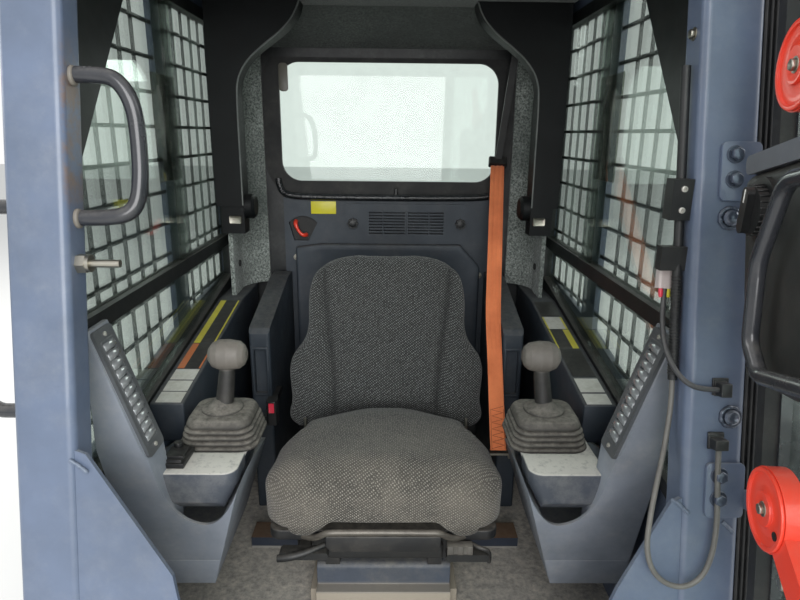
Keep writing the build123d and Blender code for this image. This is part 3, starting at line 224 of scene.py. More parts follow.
# colour, patches, dust, dust on top and sides, smoothest, roughest, bump, and what else it has
looks = {
    "postPaint": ("#59657a", "#4d586a", "#9b9a97", 0.5, 0.22, 0.28, 0.5, 0.15,
                  {"rim": (0.4565, "#6b5648"), "scratch": "#2a2624", "scratchAmount": 0.35, "coat": 0.15,
                   "grain": 0.1, "wave": 0.6}),
    "floorPaint": ("#84817b", "#64625e", "#d3ccbf", 0.9, 0.6, 0.6, 0.95, 0.5,
                   {"foot": ("Z", 0.098, "#4d586a"), "scratch": "#2c2a29", "patchScale": 12}),
    "consolePlastic": ("#858b95", "#70767f", "#bdb8ae", 0.55, 0.3, 0.5, 0.8, 0.35, {"grain": 0.7}),
    "slatePlastic": ("#2f3740", "#262d35", "#6e6b66", 0.55, 0.25, 0.42, 0.7, 0.35, {"grain": 0.7}),
    "archPlastic": ("#0c0f11", "#090b0c", "#3a3936", 0.2, 0.05, 0.4, 0.65, 0.35,
                    {"specular": 0.2, "grain": 0.8}),
    "blackPlastic": ("#17191b", "#101213", "#5f5b55", 0.5, 0.2, 0.35, 0.6, 0.25, {"grain": 0.5}),
    "ventPlastic": ("#54575a", "#484b4e", "#8b877f", 0.3, 0.2, 0.3, 0.5, 0.15, {}),
    "doorPlastic": ("#232524", "#1a1c1b", "#6a665f", 0.5, 0.25, 0.35, 0.6, 0.3, {"grain": 0.6}),
    "railPlastic": ("#50535b", "#474a52", "#8a857c", 0.5, 0.2, 0.35, 0.55, 0.15, {"grain": 0.2}),
    "switchPlastic": ("#0e0f10", "#16181a", "#57534d", 0.4, 0.15, 0.22, 0.45, 0.15, {}),
    "redPlastic": ("#e8402a", "#dd3a25", "#b08c7e", 0.2, 0.12, 0.28, 0.5, 0.12, {"coat": 0.3, "grain": 0.1}),
    "gripRubber": ("#6e6963", "#524e49", "#8f887e", 0.4, 0.25, 0.32, 0.62, 0.55,
                   {"waveScale": 55, "foot": ("Z", 0.672, "#201f1e"), "grain": 0.8}),
    "bootRubber": ("#35332f", "#292725", "#a09a90", 0.6, 0.3, 0.55, 0.85, 0.35, {"grain": 0.6}),
    "sealRubber": ("#131415", "#1c1d1e", "#65615b", 0.5, 0.35, 0.5, 0.85, 0.3, {"grain": 0.5}),
    "screenPaint": ("#1d2422", "#151b19", "#4f534e", 0.4, 0.2, 0.35, 0.6, 0.2, {}),
    "handlePaint": ("#2a2c31", "#222428", "#77736d", 0.45, 0.15, 0.14, 0.36, 0.12,
                    {"scratch": "#6f6c68", "scratchAmount": 0.3, "coat": 0.2, "grain": 0.1}),
    "seatSteel": ("#1b1c1e", "#141517", "#6d675f", 0.75, 0.35, 0.35, 0.7, 0.25, {"scratch": "#74706a"}),
    "zincSteel": ("#a8a59b", "#8a867c", "#6b655b", 0.3, 0.3, 0.22, 0.5, 0.25,
                  {"scratch": "#57534c", "metal": 1.0, "grain": 0.4}),
    "cableJacket": ("#64625e", "#4b4a47", "#958f86", 0.4, 0.3, 0.35, 0.6, 0.15, {}),
    "connectorPlastic": ("#c9bdbb", "#b5aaa6", "#8d857c", 0.4, 0.3, 0.35, 0.6, 0.15, {}),
    "bucklePlastic": ("#121315", "#191a1c", "#55514b", 0.3, 0.15, 0.25, 0.5, 0.15, {}),
    "navyPaint": ("#2c3340", "#232a36", "#7d776c", 0.4, 0.2, 0.35, 0.6, 0.2, {"grain": 0.2}),
    # the rear wall's inner face (y below 0.585) is near black: painted shade, as in the recess beside the rear
    # window
    "rearPaintInnerShade": ("#59657a", "#4d586a", "#9b9a97", 0.5, 0.15, 0.28, 0.5, 0.15,
                  {"foot": ("Y", 0.585, "#15181a"), "grain": 0.1}),
    "boltPaint": ("#4a5261", "#3b424f", "#8f8f8e", 0.4, 0.2, 0.15, 0.35, 0.15, {"metal": 0.4}),
    "cableDark": ("#36373a", "#292a2c", "#8b8780", 0.4, 0.25, 0.3, 0.55, 0.15, {}),
    "boxPlastic": ("#474c55", "#3d424a", "#cfccc3", 1.0, 0.2, 0.45, 0.75, 0.35,
                   {"even": (0.05, 0.5), "grain": 0.6}),
    "plinthPaint": ("#454c58", "#3a404a", "#8f897d", 0.4, 0.4, 0.4, 0.7, 0.3,
                    {"foot": ("Z", 0.2005, "#9b9284"), "scratch": "#99907f", "scratchAmount": 0.3}),
    "rustPaint": ("#6d4f38", "#57463a", "#8a7a68", 0.4, 0.3, 0.6, 0.9, 0.5, {"scratch": "#3a3d44"}),
    "ribbedRubber": ("#17181a", "#202224", "#6d6a66", 0.3, 0.3, 0.4, 0.7, 0.3, {"grain": 0.5}),
    "glossBlade": ("#a3a6a8", "#85888b", "#8d8880", 0.2, 0.15, 0.07, 0.2, 0.08,
                   {"metal": 0.3, "coat": 0.6, "grain": 0.05}),
    "paleMetal": ("#c9c7c0", "#aaa79f", "#8a857b", 0.2, 0.2, 0.3, 0.5, 0.15, {"metal": 0.6}),
    "brightSteel": ("#5d5952", "#46423d", "#9a9288", 0.6, 0.35, 0.25, 0.5, 0.15,
                    {"scratch": "#a09a90", "metal": 0.35}),
    "greyPlastic": ("#55524d", "#474440", "#8b857b", 0.6, 0.35, 0.4, 0.65, 0.2, {}),
    "labelYellow": ("#d9d02c", "#cbbf2a", "#8c8878", 0.35, 0.3, 0.3, 0.5, 0.08, {"grain": 0.1}),
    "labelOrange": ("#c8692b", "#b95f28", "#8c8878", 0.35, 0.3, 0.3, 0.5, 0.08, {"grain": 0.1}),
    "labelWhite": ("#d5d4ce", "#c4c3bc", "#8c8878", 0.4, 0.35, 0.3, 0.5, 0.08,
                   {"scratch": "#77746d", "scratchAmount": 0.5, "grain": 0.1}),
    "labelBlack": ("#18191b", "#202123", "#7b776e", 0.2, 0.25, 0.3, 0.5, 0.08,
                   {"scratch": "#8d8a82", "scratchAmount": 0.4, "grain": 0.1}),
    "deepBlack": ("#08090a", "#0d0e0f", "#3b3936", 0.3, 0.15, 0.45, 0.7, 0.15, {}),
    "creasedBlack": ("#101214", "#1a1d20", "#5f6266", 0.3, 0.2, 0.12, 0.35, 0.9,
                     {"waveScale": 90, "wave": 1.4}),
    "redButton": ("#d8324a", "#c92b41", "#a98a86", 0.2, 0.15, 0.25, 0.45, 0.08, {"coat": 0.3, "grain": 0.1}),
    "stitchThread": ("#a9491f", "#8f3c1a", "#8d7868", 0.2, 0.2, 0.6, 0.85, 0.3, {}),
    "weldMetal": ("#5b6677", "#505b6b", "#9aa0a8", 0.5, 0.3, 0.25, 0.5, 0.5, {"waveScale": 200, "wave": 0.9}),
    "tanPad": ("#6f6a62", "#59554e", "#8d867b", 0.4, 0.35, 0.45, 0.7, 0.25, {"scratch": "#5b554c"}),
    "tabPlastic": ("#6d6a61", "#5b5951", "#97928a", 0.3, 0.3, 0.3, 0.5, 0.1, {}),
    # pale paint for the arch's inner edges: a painted highlight
    "archHighlightPaint": ("#5d615f", "#4b4f4d", "#8e8b84", 0.4, 0.3, 0.3, 0.5, 0.1, {}),
}
finishes = {name: worn(name, row) for name, row in looks.items()}


def foamFelt(name, low, high):
    # speckled grey foam with a fine rough skin
    made, tree, shader = newMaterial(name)
    vector = coords(tree)
    speckle = ramp(tree, noise(tree, vector, 165, 4, 0.85), 0.40, 0.62, rgb(low), rgb(high))
    cloud = mixColour(tree, ramp(tree, noise(tree, vector, 5, 4), 0.35, 0.75), rgb(low), speckle)
    height = plus(tree, noise(tree, vector, 420, 3, 0.8), times(tree, noise(tree, vector, 60, 4), 0.8))
    dress(tree, shader, mixColour(tree, 0.72, speckle, cloud), height, 0.7, 0.002, Roughness=0.95,
          Sheen_Weight=0.2)
    return made


def paneGlass(name, tint, dustAmount):
    # thin pane: mostly clear, a sharp reflection, and a film of dust
    made, tree, shader = newMaterial(name)
    tree.nodes.remove(shader)
    clear = place(tree, "BsdfTransparent", Color=rgb(tint))
    gloss = place(tree, "BsdfGlossy", Roughness=0.03)
    dust = place(tree, "BsdfDiffuse", Color=rgb("#b9bcb4"))
    edge = place(tree, "Fresnel", IOR=1.45)
    first, second = place(tree, "MixShader"), place(tree, "MixShader")
    vector = coords(tree)
    film = ramp(tree, noise(tree, vector, 9, 9, 0.75), 0.45, 0.8)
    spots = ramp(tree, noise(tree, vector, 160, 4, 0.7), 0.62, 0.72)
    amount = times(tree, plus(tree, film, times(tree, spots, 0.6)), dustAmount)
    feed(tree, (first.inputs[0], times(tree, edge.outputs[0], 0.6)), (first.inputs[1], clear.outputs[0]),
         (first.inputs[2], gloss.outputs[0]), (second.inputs[0], amount), (second.inputs[1], first.outputs[0]),
         (second.inputs[2], dust.outputs[0]),
         (tree.nodes["Material Output"].inputs["Surface"], second.outputs[0]))
    return made


def webbing(name, colour, dark):
    # woven strap: fine darker ribs across, patchy tone
    made, tree, shader = newMaterial(name)
    vector = coords(tree)
    weave = bands(tree, vector, "Z", 150.0, 0.3, 1.0)
    base = mixColour(tree, ramp(tree, noise(tree, vector, 12, 5), 0.3, 0.75), rgb(colour), rgb(dark))
    dress(tree, shader, mixColour(tree, times(tree, weave, 0.35), base, rgb(dark)), weave, 0.5, 0.001,
          Roughness=0.8, Sheen_Weight=0.25)
    return made


def seatCloth(name, fleck, dusty, pitch):
    # charcoal cloth with light flecks in a steep twill, dusty where it is sat on, with painted shade in its
    # creases
    made, tree, shader = newMaterial(name)
    vector = coords(tree)
    turns = 0.444 / pitch
    along, against = (coords(tree, scale, source="UV") for scale in ((turns, turns, 0),
                                                                      (turns * 0.60, -turns * 0.98, 0)))
    twill = bands(tree, along, "DIAGONAL", 1.0, 1.9, 2.0)
    crossing = bands(tree, against, "DIAGONAL", 1.0, 2.6, 2.0)
    marks = times(tree, ramp(tree, twill, 0.42, 0.78), ramp(tree, crossing, 0.28, 0.70))
    marks = times(tree, marks, ramp(tree, noise(tree, vector, 260, 3, 0.8), 0.36, 0.56))
    base = ramp(tree, noise(tree, vector, 420, 3), 0.3, 0.7, rgb("#0f1011"), rgb("#232526"))
    colour = mixColour(tree, marks, base, rgb(fleck))
    forward = ramp(tree, times(tree, parted(tree, vector)["Y"], -1.0), 0.06, 0.34)
    cloud = ramp(tree, noise(tree, vector, 6, 6, 0.7), 0.22, 0.78)
    amount = plus(tree, times(tree, times(tree, forward, cloud), dusty), times(tree, cloud, 0.05))
    colour = mixColour(tree, amount, colour, rgb("#8f877b"))
    # painted shade: the fold attribute darkens the back's channels and the seat's lowest band
    fold = place(tree, "Attribute", attribute_name="fold")
    colour = mixColour(tree, times(tree, fold.outputs["Fac"], 0.5), colour, rgb("#0b0c0d"))
    height = plus(tree, times(tree, marks, 0.9), noise(tree, vector, 600, 2))
    dress(tree, shader, colour, height, 0.6, 0.0015, Roughness=0.92, Sheen_Weight=0.15)
    return made


finishes["foamFelt"] = foamFelt("foamFelt", "#444b48", "#c0c7c1")
# a darker copy of the foam for the headliner: painted shade
finishes["headFoamShaded"] = foamFelt("headFoamShaded", "#1f2423", "#5b625e")
finishes["sideGlass"] = paneGlass("sideGlass", "#edf4f0", 0.05)
finishes["doorGlass"] = paneGlass("doorGlass", "#e9f2ee", 0.15)
finishes["clearPlate"] = paneGlass("clearPlate", "#f2f4ee", 0.35)
finishes["orangeWebbing"] = webbing("orangeWebbing", "#f98f58", "#cf6e40")
finishes["seatCloth"] = seatCloth("seatCloth", "#a39e94", 0.55, 0.0044)
finishes["backCloth"] = seatCloth("backCloth", "#8c8f8e", 0.0, 0.0046)

nodeFinish = {
    "postPaint": ["front_posts", "rear_frame", "front_header", "side_panels", "roof_shell",
                  "hinge_brackets"],
    "rearPaintInnerShade": ["rear_wall"],
    "floorPaint": ["floor_pan"],
    "plinthPaint": ["seat_plinth"],
    "screenPaint": ["screen_uprights", "screen_crossbars"],
    "blackPlastic": ["glass_frames", "grille_knobs", "belt_guide", "harness", "cable_glands", "seat_levers",
                     "rear_release"],
    "sideGlass": ["side_glass", "rear_window"],
    "doorGlass": ["door_glass"],
    "sealRubber": ["rear_window_seal", "door_seal"],
    "bootRubber": ["lever_boots"],
    "gripRubber": ["lever_grips"],
    "slatePlastic": ["rear_panel", "seat_ducts"],
    "redPlastic": ["door_releases"],
    "foamFelt": ["corner_trims"],
    "headFoamShaded": ["headliner"],
    "archPlastic": ["pillar_arch", "arch_latches"],
    "consolePlastic": ["side_trays", "consoles"],
    "boxPlastic": ["control_boxes"],
    "ventPlastic": ["console_vents"],
    "zincSteel": ["latch_pin", "belt_anchor"],
    "orangeWebbing": ["seat_belt"],
    "bucklePlastic": ["buckle"],
    "handlePaint": ["grab_handle", "outer_rail", "door_handle", "door_frame"],
    "connectorPlastic": ["connector"],
    "cableJacket": ["cable_upper", "cable_lower"],
    "seatSteel": ["seat_base", "seat_pan", "backrest_shell"],
    "seatCloth": ["seat_cushion"],
    "backCloth": ["backrest_cushion"],
    "doorPlastic": ["door_panel"],
    "railPlastic": ["door_rail"],
    "switchPlastic": ["door_switch"],
}
for finish, names in nodeFinish.items():
    for name in names:
        mesh = nodes[name].data
        mesh.materials.clear()
        mesh.materials.append(finishes[finish])
print("materials given to", sum(len(names) for names in nodeFinish.values()), "nodes")

# free cables on the right post
cableSettings = {"thickness": 0.008, "lowerGland": (0.500, 0.704), "upperGland": (0.495, 0.792),
                 "foot": (0.438, -0.500, 0.922), "top": (0.442, -0.488, 0.978)}


def routeCurve(name, points, radius, order=3, sides=5, steps=10, radii=None):
    # a smooth round bar through a route
    curve = bpy.data.curves.new(name, "CURVE")
    curve.dimensions = "3D"
    curve.bevel_depth = radius
    curve.bevel_resolution = sides
    curve.resolution_u = steps
    spline = curve.splines.new("NURBS")
    spline.points.add(len(points) - 1)
    for index, point in enumerate(points):
        spline.points[index].co = (*point, 1)
        spline.points[index].radius = radii[index] if radii else 1
    spline.order_u = order
    spline.use_endpoint_u = True
    return addObject(name, curve)


foot, top = Vector(cableSettings["foot"]), Vector(cableSettings["top"])
upperRoute = [foot, foot + 0.54 * (foot - top), (0.431, -0.526, 0.864), (0.428, -0.550, 0.840),
              (0.433, -0.571, 0.819), (0.446, -0.585, 0.802), offPost(0.468, 0.792),
              offPost(*cableSettings["upperGland"])]
lowerRoute = [(0.446, postFront(0.790) + 0.030, 0.790), (0.446, postFront(0.757) + 0.030, 0.757),
              (0.441, -0.565, 0.722), (0.429, -0.586, 0.682), (0.414, -0.608, 0.640), (0.402, -0.627, 0.597),
              offPost(0.398, 0.556), offPost(0.407, 0.521), offPost(0.430, 0.499), offPost(0.460, 0.494),
              offPost(0.485, 0.510), offPost(0.498, 0.543), offPost(0.503, 0.586), offPost(0.502, 0.629),
              offPost(0.500, 0.668), offPost(*cableSettings["lowerGland"])]
upperCable = routeCurve("upperCable", upperRoute, cableSettings["thickness"] / 2)
lowerCable = routeCurve("lowerCable", lowerRoute, cableSettings["thickness"] / 2)
for cable, node, finish in ((upperCable, "cable_upper", "cableDark"),
                            (lowerCable, "cable_lower", "cableJacket")):
    cable.data.materials.append(finishes[finish])
    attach(cable, "cab")
    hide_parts(node)
print("cables laid")

# modelling helpers
doorTurn = radians(80)
doorUp = Vector((0, sin(rake), cos(rake)))
doorAcross = Vector((-cos(doorTurn), -sin(doorTurn) * cos(rake), sin(doorTurn) * sin(rake)))
doorFoot = Vector((0.556, postFront(0) - 0.030 / cos(rake), 0))


def planeFrom(origin, across, up):
    # a working plane: x runs across, y up, z out of the surface
    across, up = Vector(across).normalized(), Vector(up).normalized()
    made = Matrix((across, up, across.cross(up))).transposed().to_4x4()
    made.translation = Vector(origin)
    return made


def onPost(x, z, out=0.0):
    return planeFrom((x, postFront(z), z), (1, 0, 0), doorUp) @ Matrix.Translation((0, 0, out))


def onDoor(across, up, out=0.0):
    foot = doorFoot + across * doorAcross + up * doorUp
    return planeFrom(foot, doorAcross, doorUp) @ Matrix.Translation((0, 0, out))


def onTower(side, along, out=0.0):
    up = Vector((side * 0.3043, 0, 0.9526))
    return (planeFrom(Vector((side * 0.4535, -0.4135, 0.7055)) + along * up, (0, -side, 0), up)
            @ Matrix.Translation((0, 0, out)))


def facingFront(x, y, z):
    return planeFrom((x, y, z), (1, 0, 0), (0, 0, 1))


def facingUp(x, y, z):
    return planeFrom((x, y, z), (1, 0, 0), (0, 1, 0))


def facingSide(x, y, z, way):
    return planeFrom((x, y, z), (0, way, 0), (0, 0, 1))


def makeActive(*pieces):
    bpy.ops.object.select_all(action="DESELECT")
    for piece in pieces:
        piece.select_set(True)
    bpy.context.view_layer.objects.active = pieces[0]


def openEdit(piece):
    makeActive(piece)
    bpy.ops.object.mode_set(mode="EDIT")


def closeEdit():
    bpy.ops.object.mode_set(mode="OBJECT")


def pick(piece, test, kind="FACE"):
    # in edit mode: select the faces, edges or points that pass the test
    bpy.ops.mesh.select_mode(type=kind)
    bpy.ops.mesh.select_all(action="DESELECT")
    edited = bmesh.from_edit_mesh(piece.data)
    for item in {"FACE": edited.faces, "EDGE": edited.edges, "VERT": edited.verts}[kind]:
        if test(item):
            item.select_set(True)
    edited.select_flush_mode()
    bmesh.update_edit_mesh(piece.data)


def applyPlace():
    bpy.ops.object.transform_apply(location=True, rotation=True, scale=True)
    return bpy.context.active_object


def startBlock(size, at=(0, 0, 0)):
    bpy.ops.object.select_all(action="DESELECT")
    bpy.ops.mesh.primitive_cube_add(size=1, location=at, scale=size)
    return applyPlace()


def startDisc(radius, depth, sides=32, at=(0, 0, 0)):
    bpy.ops.object.select_all(action="DESELECT")
    bpy.ops.mesh.primitive_cylinder_add(vertices=sides, radius=radius, depth=depth, location=at)
    return applyPlace()


def scored(piece, levels):
    # extra edges across the piece at each x
    openEdit(piece)
    for level in levels:
        bpy.ops.mesh.select_all(action="SELECT")
        bpy.ops.mesh.bisect(plane_co=(level, 0, 0), plane_no=(1, 0, 0))
    closeEdit()
    return piece


def topWorked(piece, *steps, test=lambda face: face.normal.z > 0.9):
    # on the top face a pair insets by a thickness and a depth, a number pulls it up or down
    openEdit(piece)
    pick(piece, test)
    for step in steps:
        if isinstance(step, tuple):
            bpy.ops.mesh.inset(thickness=step[0], depth=step[1])
        else:
            bpy.ops.mesh.extrude_region_move(TRANSFORM_OT_translate={"value": (0, 0, step)})
    closeEdit()
    return piece


def hollowed(piece, width):
    # an open frame: both faces inset and bridged
    openEdit(piece)
    pick(piece, lambda face: abs(face.normal.z) > 0.9)
    bpy.ops.mesh.inset(thickness=width)
    bpy.ops.mesh.bridge_edge_loops()
    closeEdit()
    return piece


def cutAway(piece, point, direction):
    # trim off what lies past the point, and close the cut
    openEdit(piece)
    bpy.ops.mesh.select_all(action="SELECT")
    bpy.ops.mesh.bisect(plane_co=point, plane_no=direction, use_fill=True, clear_outer=True)
    closeEdit()


def applyModifier(piece, kind, **values):
    made = piece.modifiers.new("shape", kind)
    for key, value in values.items():
        setattr(made, key, value)
    makeActive(piece)
    bpy.ops.object.modifier_apply(modifier="shape")


def roundEdges(piece, width, steps=2, angle=35):
    applyModifier(piece, "BEVEL", width=width, segments=steps, limit_method="ANGLE",
                  angle_limit=radians(angle))
    return piece


def joinPieces(pieces):
    makeActive(*pieces)
    bpy.ops.object.join()
    return bpy.context.active_object


def layCopies(master, planes):
    # a copy with its own mesh on each plane, joined to one piece
    copies = []
    for plane in planes:
        copies.append(addObject(master.name, master.data.copy()))
        copies[-1].matrix_world = plane
    bpy.data.objects.remove(master)
    makeActive(*copies)
    applyPlace()
    return joinPieces(copies)


def tubeAlong(points, radius, order=3, sides=5, radii=None):
    bar = routeCurve("route", points, radius, order, sides, 8, radii)
    bar.data.use_fill_caps = True
    makeActive(bar)
    bpy.ops.object.convert(target="MESH")
    return bpy.context.active_object


def finishPiece(piece, name, finish, body, plane=None, smooth=38):
    makeActive(piece)
    if plane is not None:
        piece.matrix_world = plane
    applyPlace()
    bpy.ops.object.shade_smooth_by_angle(angle=radians(smooth))
    piece.name = name
    piece.data.name = name
    piece.data.materials.clear()
    piece.data.materials.append(finishes[finish])
    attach(piece, body)
    return piece


def hexBolt(radius, height):
    # six-sided head on a round washer
    head = topWorked(startDisc(radius, height, 6, (0, 0, height * 0.5 + radius * 0.22)),
                     (radius * 0.16, radius * 0.12))
    washer = startDisc(radius * 1.35, radius * 0.22, 24, (0, 0, radius * 0.11))
    return roundEdges(joinPieces([head, washer]), radius * 0.05, 1)


def roundScrew(radius, height):
    # domed head with a socket
    return topWorked(startDisc(radius, height, 20, (0, 0, height / 2)), (radius * 0.3, height * 0.25),
                     (radius * 0.25, 0), -height * 0.7)


def smoothStep(value, low, high):
    share = min(max((value - low) / (high - low), 0), 1)
    return share * share * (3 - 2 * share)


# seat and back cushions: a smaller copy of each solid, puffed as cloth, then folded and seated
cushionSettings = {"voxel": 0.0055, "pressure": 4.0, "lastFrame": 20, "seatShrink": (1.0, 0.995, 0.96),
                   "backShrink": (0.985, 0.97, 0.995), "seatCap": 0.012, "backCap": 0.011,
                   "seatBroad": 1.01, "backBroad": 0.985, "panTop": 0.3686,
                   "backFoot": (0, 0.042, 0.452), "backTilt": 23, "weld": 0.0002, "smoothing": 10,
                   "length": 0.995}
backUp = Vector((0, sin(radians(cushionSettings["backTilt"])), cos(radians(cushionSettings["backTilt"]))))
backPlane = planeFrom(cushionSettings["backFoot"], (1, 0, 0), backUp)


def puffedCushion(name, node, finish, plane, shrink, cap, shape, seat, creaseShade, broad):
    piece = addObject(name, nodes[node].data.copy())
    low, high = [Vector(corner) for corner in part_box(node)]
    openEdit(piece)
    bpy.ops.mesh.select_all(action="SELECT")
    bpy.ops.mesh.remove_doubles(threshold=cushionSettings["weld"])
    bpy.ops.transform.resize(value=shrink, center_override=(low + high) / 2)
    closeEdit()
    applyModifier(piece, "REMESH", mode="VOXEL", voxel_size=cushionSettings["voxel"])
    applyModifier(piece, "SMOOTH", iterations=cushionSettings["smoothing"])
    for point in piece.data.vertices:
        point.co = shape(*point.co)
    first = [point.co.copy() for point in piece.data.vertices]
    cloth = piece.modifiers.new("puff", "CLOTH")
    cloth.settings.use_pressure = True
    cloth.settings.uniform_pressure_force = cushionSettings["pressure"]
    cloth.settings.effector_weights.gravity = 0
    for step in range(1, cushionSettings["lastFrame"] + 1):
        bpy.context.scene.frame_set(step)
    makeActive(piece)
    bpy.ops.object.modifier_apply(modifier="puff")
    bpy.context.scene.frame_set(1)
    for point, start in zip(piece.data.vertices, first):
        move = point.co - start
        if move.length > 0:
            point.co = start + move * (cap * tanh(move.length / cap) / move.length)
    for point in piece.data.vertices:
        point.co = seat(*point.co)
    solid = [plane.inverted() @ point.co for point in nodes[node].data.vertices]
    flat = [plane.inverted() @ point.co for point in piece.data.vertices]
    wide = broad * max(abs(point.x) for point in solid) / max(abs(point.x) for point in flat)
    aim, now = ([min(point.y for point in group), max(point.y for point in group)] for group in (solid, flat))
    tall = cushionSettings["length"] * (aim[1] - aim[0]) / (now[1] - now[0])
    for point, start in zip(piece.data.vertices, flat):
        point.co = plane @ Vector((start.x * wide, sum(aim) / 2 + (start.y - sum(now) / 2) * tall, start.z))
    applyModifier(piece, "SUBSURF", levels=1, render_levels=1)
    # painted shade for the cloth, stored in the fold attribute
    fold = piece.data.attributes.new("fold", "FLOAT", "POINT")
    fold.data.foreach_set("value", [creaseShade(point.co) for point in piece.data.vertices])
    openEdit(piece)
    bpy.ops.mesh.select_all(action="SELECT")
    bpy.ops.uv.cube_project(cube_size=1.0)
    closeEdit()
    finishPiece(piece, name, finish, "seat", smooth=80)
    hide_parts(node)
    return piece


def seatShape(x, y, z):
    high = min(max((z - 0.372) / 0.116, 0), 1)
    roll = smoothStep(y, -0.262, -0.358)
    side = smoothStep(abs(x), 0.160, 0.245)
    z -= high * (0.034 * roll ** 2 + 0.022 * side ** 2 + 0.024 * smoothStep(y, -0.10, 0.02)
                 + 0.026 * smoothStep(abs(x), 0.03, 0.19) * smoothStep(y, -0.16, 0.0))
    z += high * 0.006 * (1 - smoothStep(abs(x), 0.0, 0.20)) * (1 - roll)
    y += 0.010 * roll * smoothStep(abs(x), 0.13, 0.24)
    recess = smoothStep(abs(x), 0.134, 0.100) * smoothStep(y, -0.290, -0.340)
    z += recess * (1 - high) ** 2 * 0.017
    return Vector((x, y, z))


def seatRest(x, y, z):
    # flat where it rests on the pan, with two lobes that hang over the pan's front rim
    if y > -0.3475:
        z = max(z, cushionSettings["panTop"])
    elif z < 0.400:
        z -= 0.017 * smoothStep(z, 0.400, 0.372) * smoothStep(abs(x), 0.122, 0.150)
    shoulder = abs(y + 0.155) < 0.03 and abs(x) > 0.19
    return Vector((x * (0.994 if shoulder else 1), y, z))


def backShape(x, y, z):
    across, up, out = backPlane.inverted() @ Vector((x, y, z))
    front = smoothStep(out, -0.055, -0.012)
    out += front * (0.006 * (1 - smoothStep(abs(across), 0.02, 0.13)) - 0.012 * smoothStep(up, 0.32, 0.42))
    out -= front * 0.010 * smoothStep(abs(across), 0.18, 0.25)
    return backPlane @ Vector((across, up, out))


def channelLine(up):
    # how far out the back's channels run at a height
    return 0.134 + 0.034 * smoothStep(up, 0.02, 0.38)


def backChannel(across, up, out, width):
    return (exp(-((abs(across) - channelLine(up)) / width) ** 2) * smoothStep(out, -0.045, -0.015)
            * smoothStep(up, -0.045, 0.02) * smoothStep(up, 0.425, 0.375))


def backRest(x, y, z):
    # soft channels down both sides, and a flat rear against the shell
    across, up, out = backPlane.inverted() @ Vector((x, y, z))
    crease = exp(-((abs(across) - channelLine(up) - 0.036) / 0.024) ** 2) * smoothStep(out, -0.045, -0.015)
    out += 0.005 * crease - 0.0105 * backChannel(across, up, out, 0.013)
    return backPlane @ Vector((across, up, max(out, -0.0693)))


# painted shade in the back's channels
def backChannelShade(spot):
    across, up, out = backPlane.inverted() @ spot
    return backChannel(across, up, out, 0.009)


def seatUnderShade(spot):
    # painted shade on the seat's lowest band, under its front lobes and along its sides
    return smoothStep(spot.z, 0.392, 0.372) * 0.8


seatCushion = puffedCushion("seatCushion", "seat_cushion", "seatCloth", Matrix(),
                            cushionSettings["seatShrink"], cushionSettings["seatCap"],
                            seatShape, seatRest, seatUnderShade, cushionSettings["seatBroad"])
backCushion = puffedCushion("backCushion", "backrest_cushion", "backCloth", backPlane,
                            cushionSettings["backShrink"], cushionSettings["backCap"],
                            backShape, backRest, backChannelShade, cushionSettings["backBroad"])
print("cushions puffed", [len(piece.data.polygons) for piece in (seatCushion, backCushion)])

# moulded plastics: merged copies of the solids with softened edges
shellSettings = {"weld": 0.0001, "flat": 1.5, "steps": 3, "sharp": 32, "smooth": 40}
softened = [("consoleShells", "consoles", 0.0030, "consolePlastic", "cab", "console_plastic"),
            ("trayShells", "side_trays", 0.0040, "slatePlastic", "cab", "console_plastic"),
            ("ductShells", "seat_ducts", 0.0060, "slatePlastic", "cab", "slate_plastic"),
            ("plinthShell", "seat_plinth", 0.0050, "plinthPaint", "cab", "floor_paint"),
            ("glandBodies", "cable_glands", 0.0030, "blackPlastic", "cab", "black_plastic"),
            ("hingePlates", "hinge_brackets", 0.0018, "postPaint", "cab", "frame_paint"),
            ("panBody", "seat_pan", 0.0030, "seatSteel", "seat", "seat_steel"),
            ("panelShell", "door_panel", 0.0040, "doorPlastic", "door", "door_plastic")]
for name, node, width, finish, body, slot in softened:
    shell = addObject(name, nodes[node].data.copy())
    openEdit(shell)
    bpy.ops.mesh.select_all(action="SELECT")
    bpy.ops.mesh.remove_doubles(threshold=shellSettings["weld"])
    bpy.ops.mesh.dissolve_limited(angle_limit=radians(shellSettings["flat"]))
    closeEdit()
    roundEdges(shell, width, shellSettings["steps"], shellSettings["sharp"])
    finishPiece(shell, name, finish, body, smooth=shellSettings["smooth"])
    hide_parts(node)

# plates that close the foot of the consoles' slanted fronts
skirtSettings = {"middle": (0.410, -0.3609, 0.283), "size": (0.200, 0.0728, 0.005), "outer": 0.0885,
                 "inner": 0.0714, "up": (0, -0.2757, 0.9611), "innerCut": (0.961, -0.276)}
skirts = []
x, y, z = skirtSettings["middle"]
cutX, cutY = skirtSettings["innerCut"]
for side in (-1, 1):
    skirt = startBlock(skirtSettings["size"], (0, 0, -0.0015))
    cutAway(skirt, (side * skirtSettings["outer"], 0, 0), (side, 0, 0))
    cutAway(skirt, (-side * skirtSettings["inner"], 0, 0), (-side * cutX, cutY, 0))
    skirt.matrix_world = planeFrom((side * x, y, z), (1, 0, 0), skirtSettings["up"])
    skirts.append(applyPlace())
finishPiece(roundEdges(joinPieces(skirts), 0.0010), "consoleSkirts", "consolePlastic", "cab")
print("plastics softened")

